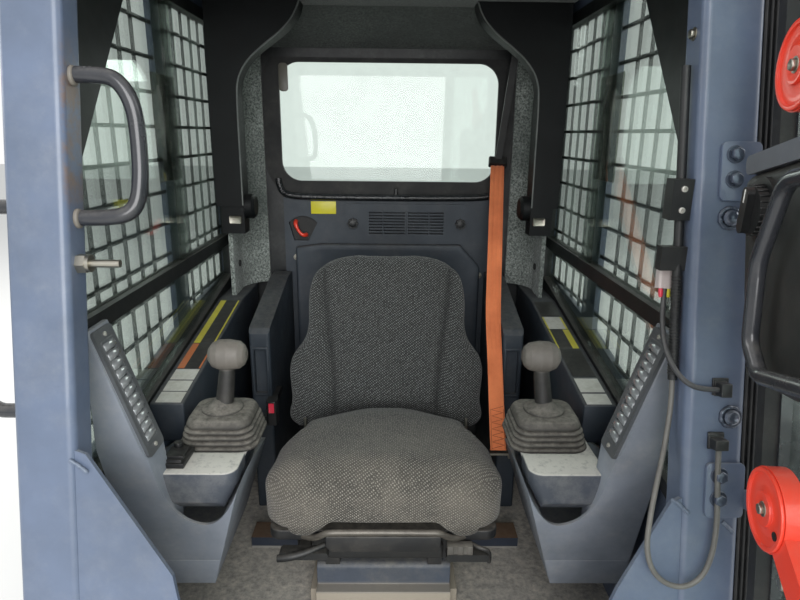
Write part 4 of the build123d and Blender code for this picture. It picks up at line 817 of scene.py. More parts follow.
# control boxes with a broad rounded corner, and the decks behind them
boxSettings = {"inner": 0.277, "outer": 0.424, "front": -0.404, "rear": -0.325, "low": 0.448, "top": 0.534,
               "deck": ((0.1505, 0.176, 0.006), 0.3548, -0.238, 0.521), "corner": 0.026}
boxes = []
inner, outer, front, rear, low, high = (boxSettings[key] for key in ("inner", "outer", "front", "rear",
                                                                     "low", "top"))
deckSize, deckX, deckY, deckZ = boxSettings["deck"]
for side in (-1, 1):
    box = startBlock((outer - inner, rear - front, high - low),
                     (side * (outer + inner) / 2, (front + rear) / 2, (low + high) / 2))
    cutAway(box, (side * inner, 0, 0.506), (-side * 0.882, 0, -0.471))
    cutAway(box, (0, -0.396, 0.464), (0, -0.707, -0.707))
    openEdit(box)
    # the upright edges at the front's inner corner
    pick(box, lambda edge: all(vert.co.y < -0.395 for vert in edge.verts)
         and min(abs(vert.co.x) for vert in edge.verts) < inner + 0.0255
         and abs(abs(edge.verts[0].co.x) - abs(edge.verts[1].co.x)) < 0.040
         and abs(edge.verts[0].co.z - edge.verts[1].co.z) > 0.010, "EDGE")
    bpy.ops.mesh.bevel(offset=boxSettings["corner"], segments=7)
    closeEdit()
    boxes += [box, startBlock(deckSize, (side * deckX, deckY, deckZ))]
boxes = roundEdges(joinPieces(boxes), 0.0075, 4, 30)
finishPiece(boxes, "boxShells", "boxPlastic", "cab", smooth=50)
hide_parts("control_boxes")

# lever boots: lipped pleats that step in, a tapered top and a domed collar
bootSettings = {"at": (0.342, -0.232, 0.524), "size": (0.160, 0.152), "corner": 0.036, "pleats": 4,
                "rise": 0.011, "shrink": 0.0030, "collar": (-0.002, 0.004),
                "pleat": [(0, 0), (0.0008, 0.0020), (0, 0.0048), (-0.0025, 0.0064), (-0.0095, 0.0074),
                          (-0.0100, 0.0104)],
                "top": [(0.0670, 0.0440), (0.0672, 0.0462), (0.0660, 0.0490), (0.0625, 0.0570),
                        (0.0600, 0.0595), (0.0560, 0.0604)],
                "dome": [(0.0020, 0.0022), (0.0090, 0.0016), (0.0070, 0.0050), (0.0060, 0.0060),
                         (0.0040, 0.0060)]}
bpy.ops.object.select_all(action="DESELECT")
bpy.ops.mesh.primitive_plane_add(size=1)
bpy.context.active_object.scale = (*bootSettings["size"], 1)
boot = applyPlace()
openEdit(boot)
bpy.ops.mesh.select_all(action="SELECT")
bpy.ops.mesh.bevel(offset=bootSettings["corner"], segments=9, affect="VERTICES")
profile = []
for index in range(bootSettings["pleats"]):
    lip, level = 0.080 - index * bootSettings["shrink"], index * bootSettings["rise"]
    profile += [(lip + out, level + up) for out, up in bootSettings["pleat"]]
profile += bootSettings["top"]
bpy.ops.mesh.select_all(action="SELECT")
now = profile[0]
for reach, level in profile[1:]:
    bpy.ops.mesh.extrude_region_move(TRANSFORM_OT_translate={"value": (0, 0, level - now[1])})
    bpy.ops.transform.resize(value=(reach / now[0], reach / now[0], 1), center_override=(0, 0, level))
    now = (reach, level)
bpy.ops.mesh.select_all(action="SELECT")
bpy.ops.mesh.normals_make_consistent(inside=False)
closeEdit()
collarBody = startDisc(0.0430, 0.0030, 48, (*bootSettings["collar"], 0.0615))
openEdit(collarBody)
pick(collarBody, lambda face: face.normal.z > 0.9)
for thickness, rise in bootSettings["dome"]:
    bpy.ops.mesh.inset(thickness=thickness)
    bpy.ops.transform.translate(value=(0, 0, rise))
closeEdit()
boot = joinPieces([boot, collarBody])
bootPlanes = [facingUp(side * bootSettings["at"][0], *bootSettings["at"][1:]) for side in (-1, 1)]
bootSkins = finishPiece(layCopies(boot, bootPlanes), "bootSkins", "bootRubber", "cab", smooth=45)
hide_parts("lever_boots")
print("boxes and boots modelled")

# vents: shiny curved blades in the frames' slots, and two screws each
ventSettings = {"blades": 11, "pitch": 0.0178, "radius": 0.0092, "width": 0.0366, "screwAt": 0.110,
                "out": 0.006, "collar": (0.046, 0.204, 0.0045)}
blade = startDisc(ventSettings["radius"], ventSettings["width"], 20)
openEdit(blade)
bpy.ops.mesh.select_all(action="SELECT")
bpy.ops.transform.rotate(value=pi / 2, orient_axis="Y", center_override=(0, 0, 0))
bpy.ops.mesh.bisect(plane_co=(0, 0, 0.0005), plane_no=(0, 0, -1), use_fill=True, clear_outer=True)
pick(blade, lambda face: abs(face.normal.x) > 0.9)
bpy.ops.mesh.inset(thickness=0.0012, depth=0.0018, use_individual=True)
closeEdit()
roundEdges(blade, 0.0005, 1)
bladePlanes = [onTower(side, (i - (ventSettings["blades"] - 1) / 2) * ventSettings["pitch"])
               for side in (-1, 1) for i in range(ventSettings["blades"])]
finishPiece(layCopies(blade, bladePlanes), "ventBlades", "glossBlade", "cab")
screwPlanes = [onTower(side, along, ventSettings["out"]) for side in (-1, 1)
               for along in (-ventSettings["screwAt"], ventSettings["screwAt"])]
finishPiece(layCopies(roundScrew(0.0042, 0.0024), screwPlanes), "ventScrews", "paleMetal", "cab")
collar = roundEdges(hollowed(startBlock(ventSettings["collar"]), 0.0042), 0.0012)
finishPiece(layCopies(collar, [onTower(side, 0, 0.0045) for side in (-1, 1)]), "ventCollars", "ventPlastic",
            "cab")
print("vents dressed")

# plain colour plates on the side trays
labelSettings = {"thick": 0.0009, "outer": 0.491, "inner": 0.437, "start": (-0.220, 0.590),
                 "run": (0.550, 0.082),
                 "rows": [(-1, 0.052, 0.312, "yellowBlack"), (-1, -0.074, 0.046, "orangeBlack"),
                          (-1, -0.124, -0.080, "white"), (-1, -0.171, -0.130, "white"),
                          (-1, -0.216, -0.176, "white"), (1, 0.222, 0.318, "black"),
                          (1, 0.142, 0.214, "whiteYellow"), (1, 0.034, 0.137, "yellowBlack"),
                          (1, -0.102, 0.028, "black"), (1, -0.168, -0.112, "white"),
                          (1, -0.216, -0.176, "white")],
                 "bands": {"yellowBlack": ((0.30, "labelYellow"), (0.93, "labelBlack"), (1, "labelYellow")),
                           "orangeBlack": ((0.30, "labelOrange"), (0.93, "labelBlack"), (1, "labelOrange")),
                           "whiteYellow": ((0.10, "labelYellow"), (0.93, "labelWhite"), (1, "labelYellow")),
                           "white": ((1, "labelWhite"),), "black": ((1, "labelBlack"),)}}
trayRun, trayRise = labelSettings["run"]
trayUp = Vector((0, trayRun, trayRise)).normalized()
labelWidth = labelSettings["outer"] - labelSettings["inner"]
for index, (side, near, far, kind) in enumerate(labelSettings["rows"]):
    stripes = labelSettings["bands"][kind]
    middle = (near + far) / 2
    centre = (side * (labelSettings["outer"] + labelSettings["inner"]) / 2, middle,
              labelSettings["start"][1] + (middle - labelSettings["start"][0]) * trayRise / trayRun)
    label = scored(startBlock((labelWidth, (far - near) / trayUp.y, labelSettings["thick"])),
                   [side * (0.5 - share) * labelWidth for share, finish in stripes[:-1]])
    label = finishPiece(label, f"trayLabel{index}", stripes[0][1], "cab",
                        planeFrom(centre, (1, 0, 0), trayUp)
                        @ Matrix.Translation((0, 0, labelSettings["thick"] / 2)))
    for share, finish in stripes[1:]:
        label.data.materials.append(finishes[finish])
    for face in label.data.polygons:
        part = (labelSettings["outer"] - abs(face.center.x)) / labelWidth
        face.material_index = sum(part > share for share, finish in stripes[:-1])
print("tray plates laid")

# rear panel: plate, red catch, painted shade in the catch's recess, grille bars, lobed knobs, roll, bolt and
# moulding
rearSettings = {"face": 0.536, "grilleFace": 0.528, "recess": (-0.277, 0.850), "bars": (-0.017, 0.057, 0.131),
                "knobs": ((-0.114, 0.871), (0.232, 0.871)), "knobRadius": 0.0160, "knobDepth": 0.016,
                "bolts": ((-0.299, 0.757), (0.299, 0.700))}
plate = startBlock((0.080, 0.040, 0.0012), (0, 0, 0.0006))
finishPiece(roundEdges(plate, 0.0015), "rearPlate", "labelYellow", "cab",
            facingFront(-0.208, rearSettings["face"], 0.919))

# a near-black sheet at the back of the catch's recess: painted shade
recessShade = startDisc(0.0575, 0.0016, 48, (0.002, -0.017, 0))
for point, direction in (((-0.036, -0.009, 0), (-0.964, -0.266, 0)), ((0.033, -0.009, 0), (0.888, -0.460, 0)),
                         ((0, -0.037, 0), (0, -1, 0))):
    cutAway(recessShade, point, direction)
finishPiece(recessShade, "recessShadeSheet", "deepBlack", "cab",
            facingFront(rearSettings["recess"][0], 0.5525, rearSettings["recess"][1]))

catchRoute = [(-0.300, 0.550, 0.872), (-0.300, 0.538, 0.870), (-0.298, 0.532, 0.862), (-0.291, 0.531, 0.846),
              (-0.281, 0.531, 0.833), (-0.271, 0.534, 0.829), (-0.268, 0.548, 0.829)]
rearCatch = tubeAlong(catchRoute, 0.0058, 3, 5, [1.25, 1.25, 1.1, 0.8, 0.85, 1.2, 1.25])
finishPiece(rearCatch, "rearCatch", "redPlastic", "cab", smooth=60)
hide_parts("rear_release")

bar = roundEdges(startBlock((0.0035, 0.080, 0.003)), 0.0006, 1)
grilleBars = layCopies(bar, [facingFront(x, rearSettings["grilleFace"] - 0.0002, 0.872)
                             for x in rearSettings["bars"]])
finishPiece(grilleBars, "grilleBars", "slatePlastic", "cab")

knob = topWorked(startDisc(rearSettings["knobRadius"], rearSettings["knobDepth"], 64,
                           (0, 0, rearSettings["knobDepth"] / 2)), (0.0035, 0), -0.0025, (0.0025, 0.0015))
for point in knob.data.vertices:
    if hypot(point.co.x, point.co.y) > 0.011:
        lobe = 1 + 0.10 * cos(8 * atan2(point.co.y, point.co.x))
        point.co.x *= lobe
        point.co.y *= lobe
roundEdges(knob, 0.0008, 2, 50)
grilleKnobs = layCopies(knob, [facingFront(x, rearSettings["grilleFace"], z) for x, z in rearSettings["knobs"]])
finishPiece(grilleKnobs, "grilleKnobs", "blackPlastic", "cab")
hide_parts("grille_knobs")

rollRoute = [(-0.349, 0.538, 1.010), (-0.346, 0.536, 0.985), (-0.334, 0.532, 0.965), (-0.305, 0.529, 0.955),
             (-0.20, 0.528, 0.953), (0, 0.528, 0.952), (0.20, 0.528, 0.953), (0.305, 0.529, 0.955),
             (0.334, 0.532, 0.965), (0.345, 0.536, 0.985)]
sealRoll = tubeAlong(rollRoute, 0.0105, 3, 7)
finishPiece(sealRoll, "sealRoll", "creasedBlack", "cab", smooth=70)
rollClip = startBlock((0.010, 0.024, 0.030))
finishPiece(roundEdges(rollClip, 0.003, 3), "rollClip", "blackPlastic", "cab",
            planeFrom((0.024, 0.534, 0.968), (1, 0, 0), (0, -1, 0)))

panelBolts = layCopies(hexBolt(0.0078, 0.006), [facingFront(x, rearSettings["face"], z)
                                                for x, z in rearSettings["bolts"]])
finishPiece(panelBolts, "panelBolts", "zincSteel", "cab")

# across, up, out of the panel
moulding = startBlock((0.596, 0.500, 0.028), (0.0, 0.555, 0.014))
for point, direction in (((-0.276, 0.797, 0), (-0.132, 0.991, 0)), ((0.232, 0.806, 0), (0.74, 0.67, 0)),
                         ((0, 0.812, 0), (0, 1, 0))):
    cutAway(moulding, point, direction)
roundEdges(topWorked(moulding, (0.020, 0), (0.050, -0.010)), 0.007, 3, 25)
finishPiece(moulding, "rearMoulding", "slatePlastic", "cab",
            facingFront(0, rearSettings["face"], 0))
print("rear panel dressed")

# clip on the left control box
clipSettings = {"size": (0.046, 0.070, 0.010), "at": (-0.401, -0.352, 0.534)}
clip = startBlock(clipSettings["size"], (0, 0, 0.005))
openEdit(clip)
pick(clip, lambda face: face.normal.z > 0.9)
bpy.ops.mesh.inset(thickness=0.006)
bpy.ops.mesh.extrude_region_move(TRANSFORM_OT_translate={"value": (0, 0, 0.005)})
bpy.ops.mesh.bisect(plane_co=(0, -0.006, 0), plane_no=(0, 1, 0))
closeEdit()
clipBar = startBlock((0.040, 0.011, 0.006), (0, -0.018, 0.017))
clipKnob = startDisc(0.009, 0.014, 20, (-0.006, 0.026, 0.017))
clip = joinPieces([clip, clipBar, clipKnob])
roundEdges(clip, 0.0016, 2)
finishPiece(clip, "boxClip", "bucklePlastic", "cab", facingUp(*clipSettings["at"]))

# belt buckle: red button in a raised frame
buckleFace = facingFront(-0.2895, -0.005, 0.477)
button = topWorked(startBlock((0.014, 0.026, 0.0042), (0, 0, 0.0021)), (0.0018, -0.0008))
finishPiece(roundEdges(button, 0.0012), "buckleButton", "redButton", "cab", buckleFace)
rim = hollowed(startBlock((0.021, 0.034, 0.0036), (0, 0, 0.0018)), 0.0032)
finishPiece(roundEdges(rim, 0.0008), "buckleRim", "bucklePlastic", "cab", buckleFace)

# duct frames round the belt recesses
ductFrame = roundEdges(hollowed(startBlock((0.046, 0.142, 0.004), (0, 0, 0.002)), 0.006), 0.0012)
ductFrames = layCopies(ductFrame, [facingFront(x, 0.130, 0.520) for x in (-0.343, 0.343)])
finishPiece(ductFrames, "ductFrames", "slatePlastic", "cab")
print("buckle, clip and duct frames in place")

# seat belt: two layers of webbing, cupped and rippled, with a stitched foot
beltSettings = {"foot": (0.284, -0.050, 0.385), "knee": (0.293, 0.181, 0.667), "top": (0.338, 0.500, 1.057),
                "steps": 90, "thick": 0.0014, "kneeBlend": 0.07,
                "stitches": (0.0165, 0.0155, (-0.0030, 0.0008))}


def beltMiddle(share):
    # a point of the belt's middle line, rounded at its knee
    foot, knee, top = (Vector(beltSettings[key]) for key in ("foot", "knee", "top"))
    lower, upper = (knee - foot).length, (top - knee).length
    run = share * (lower + upper) - lower
    soft = beltSettings["kneeBlend"]
    before, after = (foot - knee).normalized(), (top - knee).normalized()
    if abs(run) >= soft:
        return knee + (after * run if run > 0 else before * -run)
    part = (run + soft) / (2 * soft)
    return knee + before * soft * (1 - part) ** 2 + after * soft * part ** 2


def beltLayer(name, width, shift, behind, ripple):
    bpy.ops.object.select_all(action="DESELECT")
    bpy.ops.mesh.primitive_grid_add(x_subdivisions=12, y_subdivisions=beltSettings["steps"], size=1)
    layer = bpy.context.active_object
    for point in layer.data.vertices:
        across, share = point.co.x, point.co.y + 0.5
        ahead = (beltMiddle(min(share + 0.01, 1)) - beltMiddle(max(share - 0.01, 0))).normalized()
        out = Vector((1, 0, 0)).cross(ahead).normalized()
        fold = ripple * sin(across * 17) * smoothStep(share, 0.18, 0.40)
        cup = -0.0022 * (1 - 4 * across ** 2) * smoothStep(share, 0.05, 0.3)
        sideways = across * width + shift * smoothStep(share, 0.1, 0.5)
        point.co = beltMiddle(share) + Vector((sideways, 0, 0)) + out * (behind + fold + cup)
    applyModifier(layer, "SOLIDIFY", thickness=beltSettings["thick"], offset=0)
    roundEdges(layer, 0.0004, 1, 50)
    return finishPiece(layer, name, "orangeWebbing", "cab", smooth=60)


frontLayer = beltLayer("beltFront", 0.040, 0.0008, -0.0012, 0.0004)
beltLayer("beltBack", 0.037, -0.0030, 0.0022, 0.0012)
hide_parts("seat_belt")
edgeX, crossX, lift = beltSettings["stitches"]
threads = [[beltMiddle(0.006 + row * 0.0095) + Vector((crossX if row % 2 else -crossX, *lift))
            for row in range(14)]]
threads += [[beltMiddle(0.004 + part * 0.013) + Vector((edge, *lift)) for part in range(10)]
            for edge in (-edgeX, edgeX)]
finishPiece(joinPieces([tubeAlong(thread, 0.0006, 2, 1) for thread in threads]), "beltStitches",
            "stitchThread", "cab")
print("belt laid")

# seat base: front cover, bent lip of the pan, height block, rods
seatSettings = {"coverAt": (0.003, -0.310, 0.3045), "coverSize": (0.246, 0.040, 0.013), "rodX": 0.209}
cover = startBlock(seatSettings["coverSize"], (0, 0, seatSettings["coverSize"][2] / 2))
for side in (-1, 1):
    cutAway(cover, (side * 0.112, 0.020, 0), (side * 0.62, 0.78, 0))
roundEdges(topWorked(cover, (0.0045, 0.003)), 0.0015, 2, 25)
finishPiece(cover, "baseCover", "blackPlastic", "seat", facingFront(*seatSettings["coverAt"]))

lipRoute = [(-0.172, -0.336, 0.352), (-0.150, -0.348, 0.353), (-0.132, -0.356, 0.361), (-0.116, -0.359, 0.373),
            (-0.098, -0.360, 0.3745), (-0.03, -0.360, 0.375), (0.03, -0.360, 0.375), (0.098, -0.360, 0.3745),
            (0.116, -0.359, 0.373), (0.132, -0.356, 0.361), (0.150, -0.348, 0.353), (0.172, -0.336, 0.352)]
panLip = tubeAlong(lipRoute, 0.0068, 3, 5)
finishPiece(panLip, "panLip", "brightSteel", "seat", smooth=70)

heightBlock = scored(startBlock((0.052, 0.022, 0.020), (0, 0, 0.010)), (-0.014, -0.004, 0.006, 0.016))
for middle, reach in ((-0.009, 0.006), (0.011, 0.004)):
    topWorked(heightBlock, (0.001, -0.0015), test=lambda face: face.normal.z > 0.9
              and abs(face.calc_center_median().x - middle) < reach)
finishPiece(roundEdges(heightBlock, 0.002), "heightBlock", "greyPlastic", "seat",
            facingFront(0.156, -0.345, 0.334))
bracket = tubeAlong([(0.178, -0.340, 0.338), (0.190, -0.356, 0.338), (0.205, -0.360, 0.337),
                     (0.216, -0.359, 0.330), (0.218, -0.356, 0.310), (0.218, -0.352, 0.300)], 0.0045, 3, 4)
finishPiece(bracket, "heightBracket", "seatSteel", "seat", smooth=60)
pull = tubeAlong([(-0.106, -0.338, 0.337), (-0.128, -0.350, 0.334), (-0.160, -0.364, 0.328),
                  (-0.196, -0.368, 0.321), (-0.214, -0.366, 0.318)], 0.0075, 3, 5, [0.7, 0.8, 1, 1.15, 1.0])
finishPiece(pull, "slidePull", "blackPlastic", "seat", smooth=60)

rod = topWorked(startDisc(0.0042, 0.070, 20, (0, 0, 0.035)), (0.001, 0.001))
rod = roundEdges(joinPieces([rod, startDisc(0.0085, 0.004, 24, (0, 0, 0.002))]), 0.0005, 1)
rods = layCopies(rod, [facingUp(x, 0.020, 0.3675) for x in (-seatSettings["rodX"], seatSettings["rodX"])])
finishPiece(rods, "seatRods", "zincSteel", "seat")
print("seat base dressed")

# posts: weld beads, studs, grab handle on its pads, a bolt
postSettings = {"beadRadius": 0.0027, "studs": ((0.521, 0.747), (0.5050, 1.036)), "ring": 0.0145,
                "pads": ((-0.455, -0.466, 1.2265), (-0.455, -0.503, 1.0235)),
                "sideBolt": (0.455, -0.452, 1.295)}
beadRuns = [[(-0.462, 0.678), (-0.452, 0.672), (-0.443, 0.665), (-0.434, 0.657)],
            [(0.437, 0.622), (0.447, 0.617), (0.458, 0.607), (0.469, 0.597)],
            [(0.517, 0.588), (0.524, 0.582), (0.530, 0.576), (0.537, 0.569)]]
beads = []
for run in beadRuns:
    fine = [Vector(onPost(*run[i], 0.001).translation).lerp(onPost(*run[i + 1], 0.001).translation, part / 4)
            for i in range(len(run) - 1) for part in range(4)]
    beads.append(tubeAlong(fine, postSettings["beadRadius"], 3, 4,
                           [1.0 + 0.32 * sin(2.4 * i) * cos(0.9 * i) for i in range(len(fine))]))
finishPiece(joinPieces(beads), "weldBeads", "weldMetal", "cab", smooth=70)

stud = topWorked(startDisc(0.0115, 0.0070, 32, (0, 0, 0.0035)), (0.003, 0.002), (0.004, -0.002))
ringRoute = [(postSettings["ring"] * cos(i * pi / 9), postSettings["ring"] * sin(i * pi / 9), 0.0015)
             for i in range(19)]
ringBead = tubeAlong(ringRoute, 0.0034, 3, 4, [1.0 + 0.25 * sin(2.7 * i) for i in range(19)])
studs = layCopies(joinPieces([stud, ringBead]), [onPost(*spot) for spot in postSettings["studs"]])
finishPiece(studs, "postStuds", "boltPaint", "cab", smooth=50)

handleRoute = [(-0.4545, -0.464, 1.228), (-0.420, -0.464, 1.229), (-0.388, -0.465, 1.223),
               (-0.3665, -0.469, 1.184), (-0.3625, -0.476, 1.130), (-0.3620, -0.4845, 1.078),
               (-0.3690, -0.4935, 1.037), (-0.397, -0.500, 1.0235), (-0.4545, -0.500, 1.024)]
grabBar = tubeAlong(handleRoute, 0.012, 3, 9)
finishPiece(grabBar, "grabBar", "handlePaint", "cab", smooth=70)
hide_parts("grab_handle")
pad = startDisc(0.0128, 0.005, 36, (0, 0, 0.0025))
pad.scale = (1.0, 1.15, 1)
pads = layCopies(topWorked(applyPlace(), (0.003, 0.0015)),
                 [facingSide(*spot, 1) for spot in postSettings["pads"]])
finishPiece(roundEdges(pads, 0.0012), "handlePads", "tanPad", "cab")
finishPiece(hexBolt(0.007, 0.005), "postBolt", "zincSteel", "cab",
            facingSide(*postSettings["sideBolt"], -1))

# rubber flap on the right post's outer side, bolts on the hinge plates, caps of the cross member
flapSettings = {"foot": 0.165, "head": 1.455, "width": 0.022, "thick": 0.016, "back": 0.014}
flapLength = (flapSettings["head"] - flapSettings["foot"]) / cos(rake)
flap = scored(startBlock((flapSettings["width"], flapLength, flapSettings["thick"])),
              (-0.006, -0.002, 0.002, 0.006))
topWorked(flap, -0.004, test=lambda face: face.normal.z > 0.9
          and 0.0021 < abs(face.calc_center_median().x) < 0.0059)
roundEdges(flap, 0.0012)
flapMiddle = (flapSettings["foot"] + flapSettings["head"]) / 2
finishPiece(flap, "postFlap", "ribbedRubber", "cab",
            onPost(0.545 + flapSettings["width"] / 2, flapMiddle, -flapSettings["back"]))
hingePlanes = [onPost(0.506, height, 0.006) for height in (0.625, 0.660, 1.090, 1.125)]
finishPiece(layCopies(hexBolt(0.0095, 0.0075), hingePlanes), "hingeBolts", "boltPaint", "cab")
crossCaps = [topWorked(startBlock((0.182, 0.0652, 0.0251), (side * 0.257, -0.023, 0.12005)), (0.004, 0.0006))
             for side in (-1, 1)]
crossCaps = finishPiece(joinPieces(crossCaps), "crossCaps", "navyPaint", "cab")
crossCaps.data.materials.append(finishes["rustPaint"])
for face in crossCaps.data.polygons:
    face.material_index = 1 if face.normal.z > 0.9 else 0

# wiring: ribs on the conduit, screws on the switch block, coloured seals on the connector
wireSettings = {"ribs": 34, "ribRadius": 0.0082, "lowest": 0.800, "pitch": 0.0044, "conduitX": 0.446}
ribPlanes = []
for index in range(wireSettings["ribs"]):
    height = wireSettings["lowest"] + index * wireSettings["pitch"]
    ribPlanes.append(planeFrom((wireSettings["conduitX"], postFront(height) + 0.030, height), (1, 0, 0),
                               (0, cos(rake), -sin(rake))))
rib = roundEdges(startDisc(wireSettings["ribRadius"], 0.0024, 24), 0.0008, 1)
finishPiece(layCopies(rib, ribPlanes), "conduitRibs", "blackPlastic", "cab")
blockBolts = layCopies(roundScrew(0.0045, 0.003), [facingFront(0.441, -0.5149, z) for z in (1.045, 1.076)])
finishPiece(blockBolts, "blockBolts", "paleMetal", "cab")
connectorDown = Vector((-0.004, -0.012, -0.056)).normalized()
sealSpots = [Vector((0.438 + shift, -0.5005, 0.9225)) for shift in (-0.006, 0.006)]
for tint, spot in zip(("redButton", "labelYellow"), sealSpots):
    wireSeal = topWorked(startDisc(0.0036, 0.010, 20, (0, 0, 0.005)), (0.0012, 0.004))
    finishPiece(wireSeal, "wireSeal" + tint[0].upper() + tint[1:], tint, "cab",
                planeFrom(spot, (1, 0, 0), connectorDown.cross(Vector((1, 0, 0)))))
print("posts and wiring dressed")

# door: release caps, through bolts, panel screws, knob ribs
doorSettings = {"caps": ((0.206, 0.720), (0.222, 1.207)), "capFace": 0.080, "throughBolt": (0.128, 0.592),
                "screws": ((0.172, 1.080), (0.186, 0.882), (0.400, 0.882), (0.400, 1.080)),
                "switch": (0.206, 1.057), "face": 0.098}
capFace, doorFace = doorSettings["capFace"], doorSettings["face"]
cap = topWorked(startDisc(0.0465, 0.004, 64, (0, 0, 0.002)), (0.0055, 0), -0.0030, (0.0210, 0), 0.0042,
                (0.0060, -0.0016))
caps = layCopies(roundEdges(cap, 0.0012), [onDoor(*spot, capFace) for spot in doorSettings["caps"]])
finishPiece(caps, "releaseCaps", "redPlastic", "door")
capBolts = layCopies(hexBolt(0.0065, 0.004), [onDoor(*spot, capFace + 0.0030) for spot in doorSettings["caps"]])
finishPiece(capBolts, "releaseBolts", "zincSteel", "door")
dimple = topWorked(startDisc(0.0050, 0.0012, 20, (0, 0, 0.0006)), (0.0012, -0.0008))
dimples = [onDoor(x + 0.026, y - 0.020, capFace + 0.0008) for x, y in doorSettings["caps"]]
finishPiece(layCopies(dimple, dimples), "releaseDimples", "deepBlack", "door")

shank = topWorked(startDisc(0.0080, 0.030, 28, (0, 0, 0.015)), (0.0025, 0.0015))
stack = joinPieces([shank, startDisc(0.0165, 0.0030, 32, (0, 0, 0.0015)),
                    startDisc(0.0130, 0.0100, 6, (0, 0, 0.0085))])
finishPiece(roundEdges(stack, 0.0006, 1), "doorStud", "zincSteel", "door",
            onDoor(*doorSettings["throughBolt"], -0.004))

panelScrews = layCopies(roundScrew(0.0050, 0.0028),
                        [onDoor(*spot, doorFace) for spot in doorSettings["screws"]])
finishPiece(panelScrews, "panelScrews", "bucklePlastic", "door")
knobRibs = layCopies(startBlock((0.0030, 0.0022, 0.0098), (0.0272, 0, 0.0110)),
                     [onDoor(*doorSettings["switch"], doorFace) @ Matrix.Rotation(i * pi / 12, 4, "Z")
                      for i in range(24)])
finishPiece(roundEdges(knobRibs, 0.0006, 1), "knobRibs", "switchPlastic", "door")
marker = roundEdges(startBlock((0.0024, 0.0150, 0.0008), (0, 0.016, 0.0004)), 0.0004, 1)
finishPiece(marker, "switchMark", "labelWhite", "door",
            onDoor(*doorSettings["switch"], doorFace + 0.0239) @ Matrix.Rotation(radians(-20), 4, "Z"))
print("door dressed")

# glass plates, window tab, painted highlight along the arch edges, plugs, latch hooks
glassSettings = {"plates": ((-0.5195, 0.075, 1.156), (0.5195, 0.062, 1.166)),
                 "plateSize": (0.150, 0.240, 0.003)}
platePlanes = [facingSide(x, y, z, 1 if x < 0 else -1) for x, y, z in glassSettings["plates"]]
sheetPlate = roundEdges(startBlock(glassSettings["plateSize"], (0, 0, 0.0015)), 0.0010)
finishPiece(layCopies(sheetPlate, platePlanes), "clearPlates", "clearPlate", "cab")
tab = startBlock((0.028, 0.082, 0.004), (0, 0, 0.002))
openEdit(tab)
pick(tab, lambda edge: abs(edge.verts[0].co.x - edge.verts[1].co.x) < 1e-4
     and abs(edge.verts[0].co.y - edge.verts[1].co.y) < 1e-4, "EDGE")
bpy.ops.mesh.bevel(offset=0.010, segments=5)
closeEdit()
finishPiece(roundEdges(tab, 0.0010), "windowTab", "tabPlastic", "cab",
            facingFront(-0.322, 0.5455, 1.312))
# a pale tube along each arch's inner edge is a painted highlight
archRoute = [(0.4045, 0.952), (0.4045, 1.100), (0.4045, 1.240), (0.3985, 1.290), (0.3715, 1.333),
             (0.3295, 1.369), (0.2805, 1.404), (0.2425, 1.444), (0.2305, 1.478)]
edges = [tubeAlong([(side * x, 0.2905, z) for x, z in archRoute], 0.0022, 3, 3) for side in (-1, 1)]
finishPiece(joinPieces(edges), "archHighlightTubes", "archHighlightPaint", "cab", smooth=60)
plug = topWorked(startDisc(0.0100, 0.0045, 28, (0, 0, 0.00225)), (0.0025, -0.0015))
plugs = layCopies(plug, [facingSide(-0.4580, 0.420, 0.760, 1), facingSide(0.4580, 0.420, 0.756, -1)])
finishPiece(roundEdges(plugs, 0.0008), "trimPlugs", "deepBlack", "cab")
hook = roundEdges(topWorked(startBlock((0.034, 0.022, 0.012), (0, 0, 0.006)), (0.004, -0.003)), 0.0025)
hooks = layCopies(hook, [facingFront(side * 0.428, 0.2998, 0.912) for side in (-1, 1)])
finishPiece(hooks, "latchHooks", "zincSteel", "cab")
print("glass and trim dressed")

# outside: roof ribs, side and rear bolts
outSettings = {"roofRibs": (-0.36, -0.12, 0.12, 0.36), "roofTop": 1.550, "ribLength": 0.82,
               "skinBolts": [(y, z) for z in (0.62, 1.455) for y in (-0.36, -0.10, 0.16, 0.42)],
               "rearBolts": [(x, z) for x in (-0.49, 0.49) for z in (0.20, 0.55, 0.90, 1.25)]}
ribBase = topWorked(startBlock((0.060, outSettings["ribLength"], 0.007), (0, 0.08, 0.0035)), (0.012, 0))
openEdit(ribBase)
pick(ribBase, lambda vert: vert.co.z > 0.006
     and (abs(vert.co.x) > 0.028 or abs(vert.co.y - 0.08) > 0.405), "VERT")
bpy.ops.transform.translate(value=(0, 0, -0.0065))
closeEdit()
roofRibs = layCopies(ribBase, [facingUp(x, 0, outSettings["roofTop"]) for x in outSettings["roofRibs"]])
roundEdges(roofRibs, 0.0025, 2, 15)
finishPiece(roofRibs, "roofRibs", "postPaint", "cab", smooth=50)
skinPlanes = [facingSide(side * 0.545, y, z, side) for side in (-1, 1) for y, z in outSettings["skinBolts"]]
finishPiece(layCopies(hexBolt(0.0075, 0.005), skinPlanes), "skinBolts", "zincSteel", "cab")
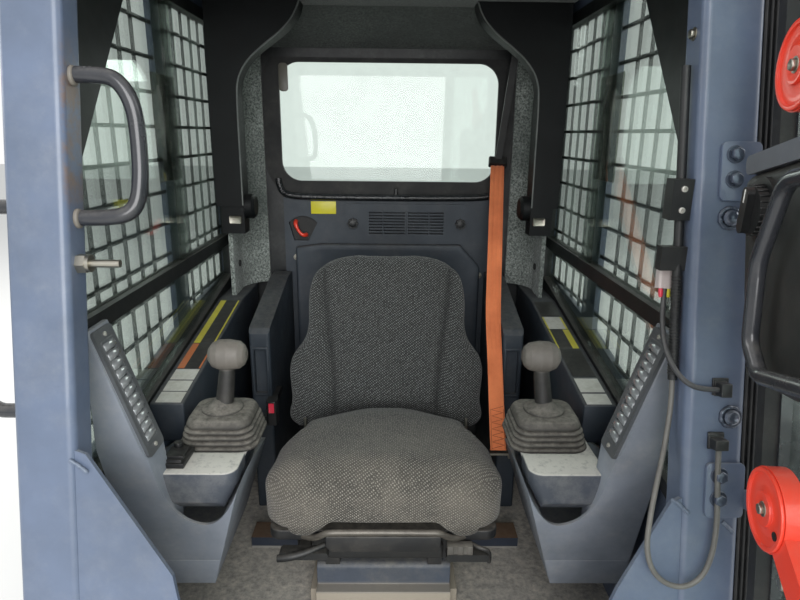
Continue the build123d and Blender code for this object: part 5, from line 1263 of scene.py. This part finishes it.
rearPlanes = [planeFrom((x, 0.600, z), (-1, 0, 0), (0, 0, 1)) for x, z in outSettings["rearBolts"]]
finishPiece(layCopies(hexBolt(0.0075, 0.005), rearPlanes), "rearBolts", "zincSteel", "cab")
print("outside dressed")

# floor and light
floorSettings = {"size": 40, "colour": "#d9d8d4"}
bpy.ops.mesh.primitive_plane_add(size=floorSettings["size"], location=(0, 0, 0))
studioFloor = bpy.context.active_object
studioFloor.name = "studioFloor"
floorMaterial, tree, shader = newMaterial("studioFloor")
shader.inputs["Base Color"].default_value = rgb(floorSettings["colour"])
shader.inputs["Roughness"].default_value = 0.9
studioFloor.data.materials.append(floorMaterial)

lampSettings = [("frontLamp", (0.6, -4.4, 2.2), (0.0, 0, 0.7), 3.4, 250),
                ("leftLamp", (-4.2, 0.4, 3.2), (0, 0, 1.0), 3.0, 90),
                ("rightLamp", (4.2, 0.6, 3.2), (0, 0, 1.0), 3.0, 80),
                ("rearLamp", (0.3, 4.4, 3.0), (0, 0, 1.1), 3.0, 90)]
for lampName, lampPlace, target, size, power in lampSettings:
    lampData = bpy.data.lights.new(lampName, "AREA")
    lampData.size = size
    lampData.energy = power
    lamp = addObject(lampName, lampData)
    lamp.location = lampPlace
    lamp.rotation_euler = (Vector(target) - Vector(lampPlace)).to_track_quat("-Z", "Y").to_euler()

world = bpy.data.worlds.new("studio")
bpy.context.scene.world = world
world.use_nodes = True
tree = world.node_tree
background = tree.nodes["Background"]
background.inputs["Color"].default_value = (0.93, 0.96, 1.0, 1)
background.inputs["Strength"].default_value = 0.9
white = place(tree, "Background", Color=(1, 1, 1, 1), Strength=1)
rays = place(tree, "LightPath").outputs
seen = maths(tree, "MAXIMUM", rays["Is Camera Ray"], rays["Is Glossy Ray"])
choose = place(tree, "MixShader")
feed(tree, (choose.inputs[0], maths(tree, "MAXIMUM", seen, rays["Is Transmission Ray"])),
     (choose.inputs[1], background.outputs[0]), (choose.inputs[2], white.outputs[0]),
     (tree.nodes["World Output"].inputs["Surface"], choose.outputs[0]))

bpy.context.scene.view_settings.view_transform = "Standard"
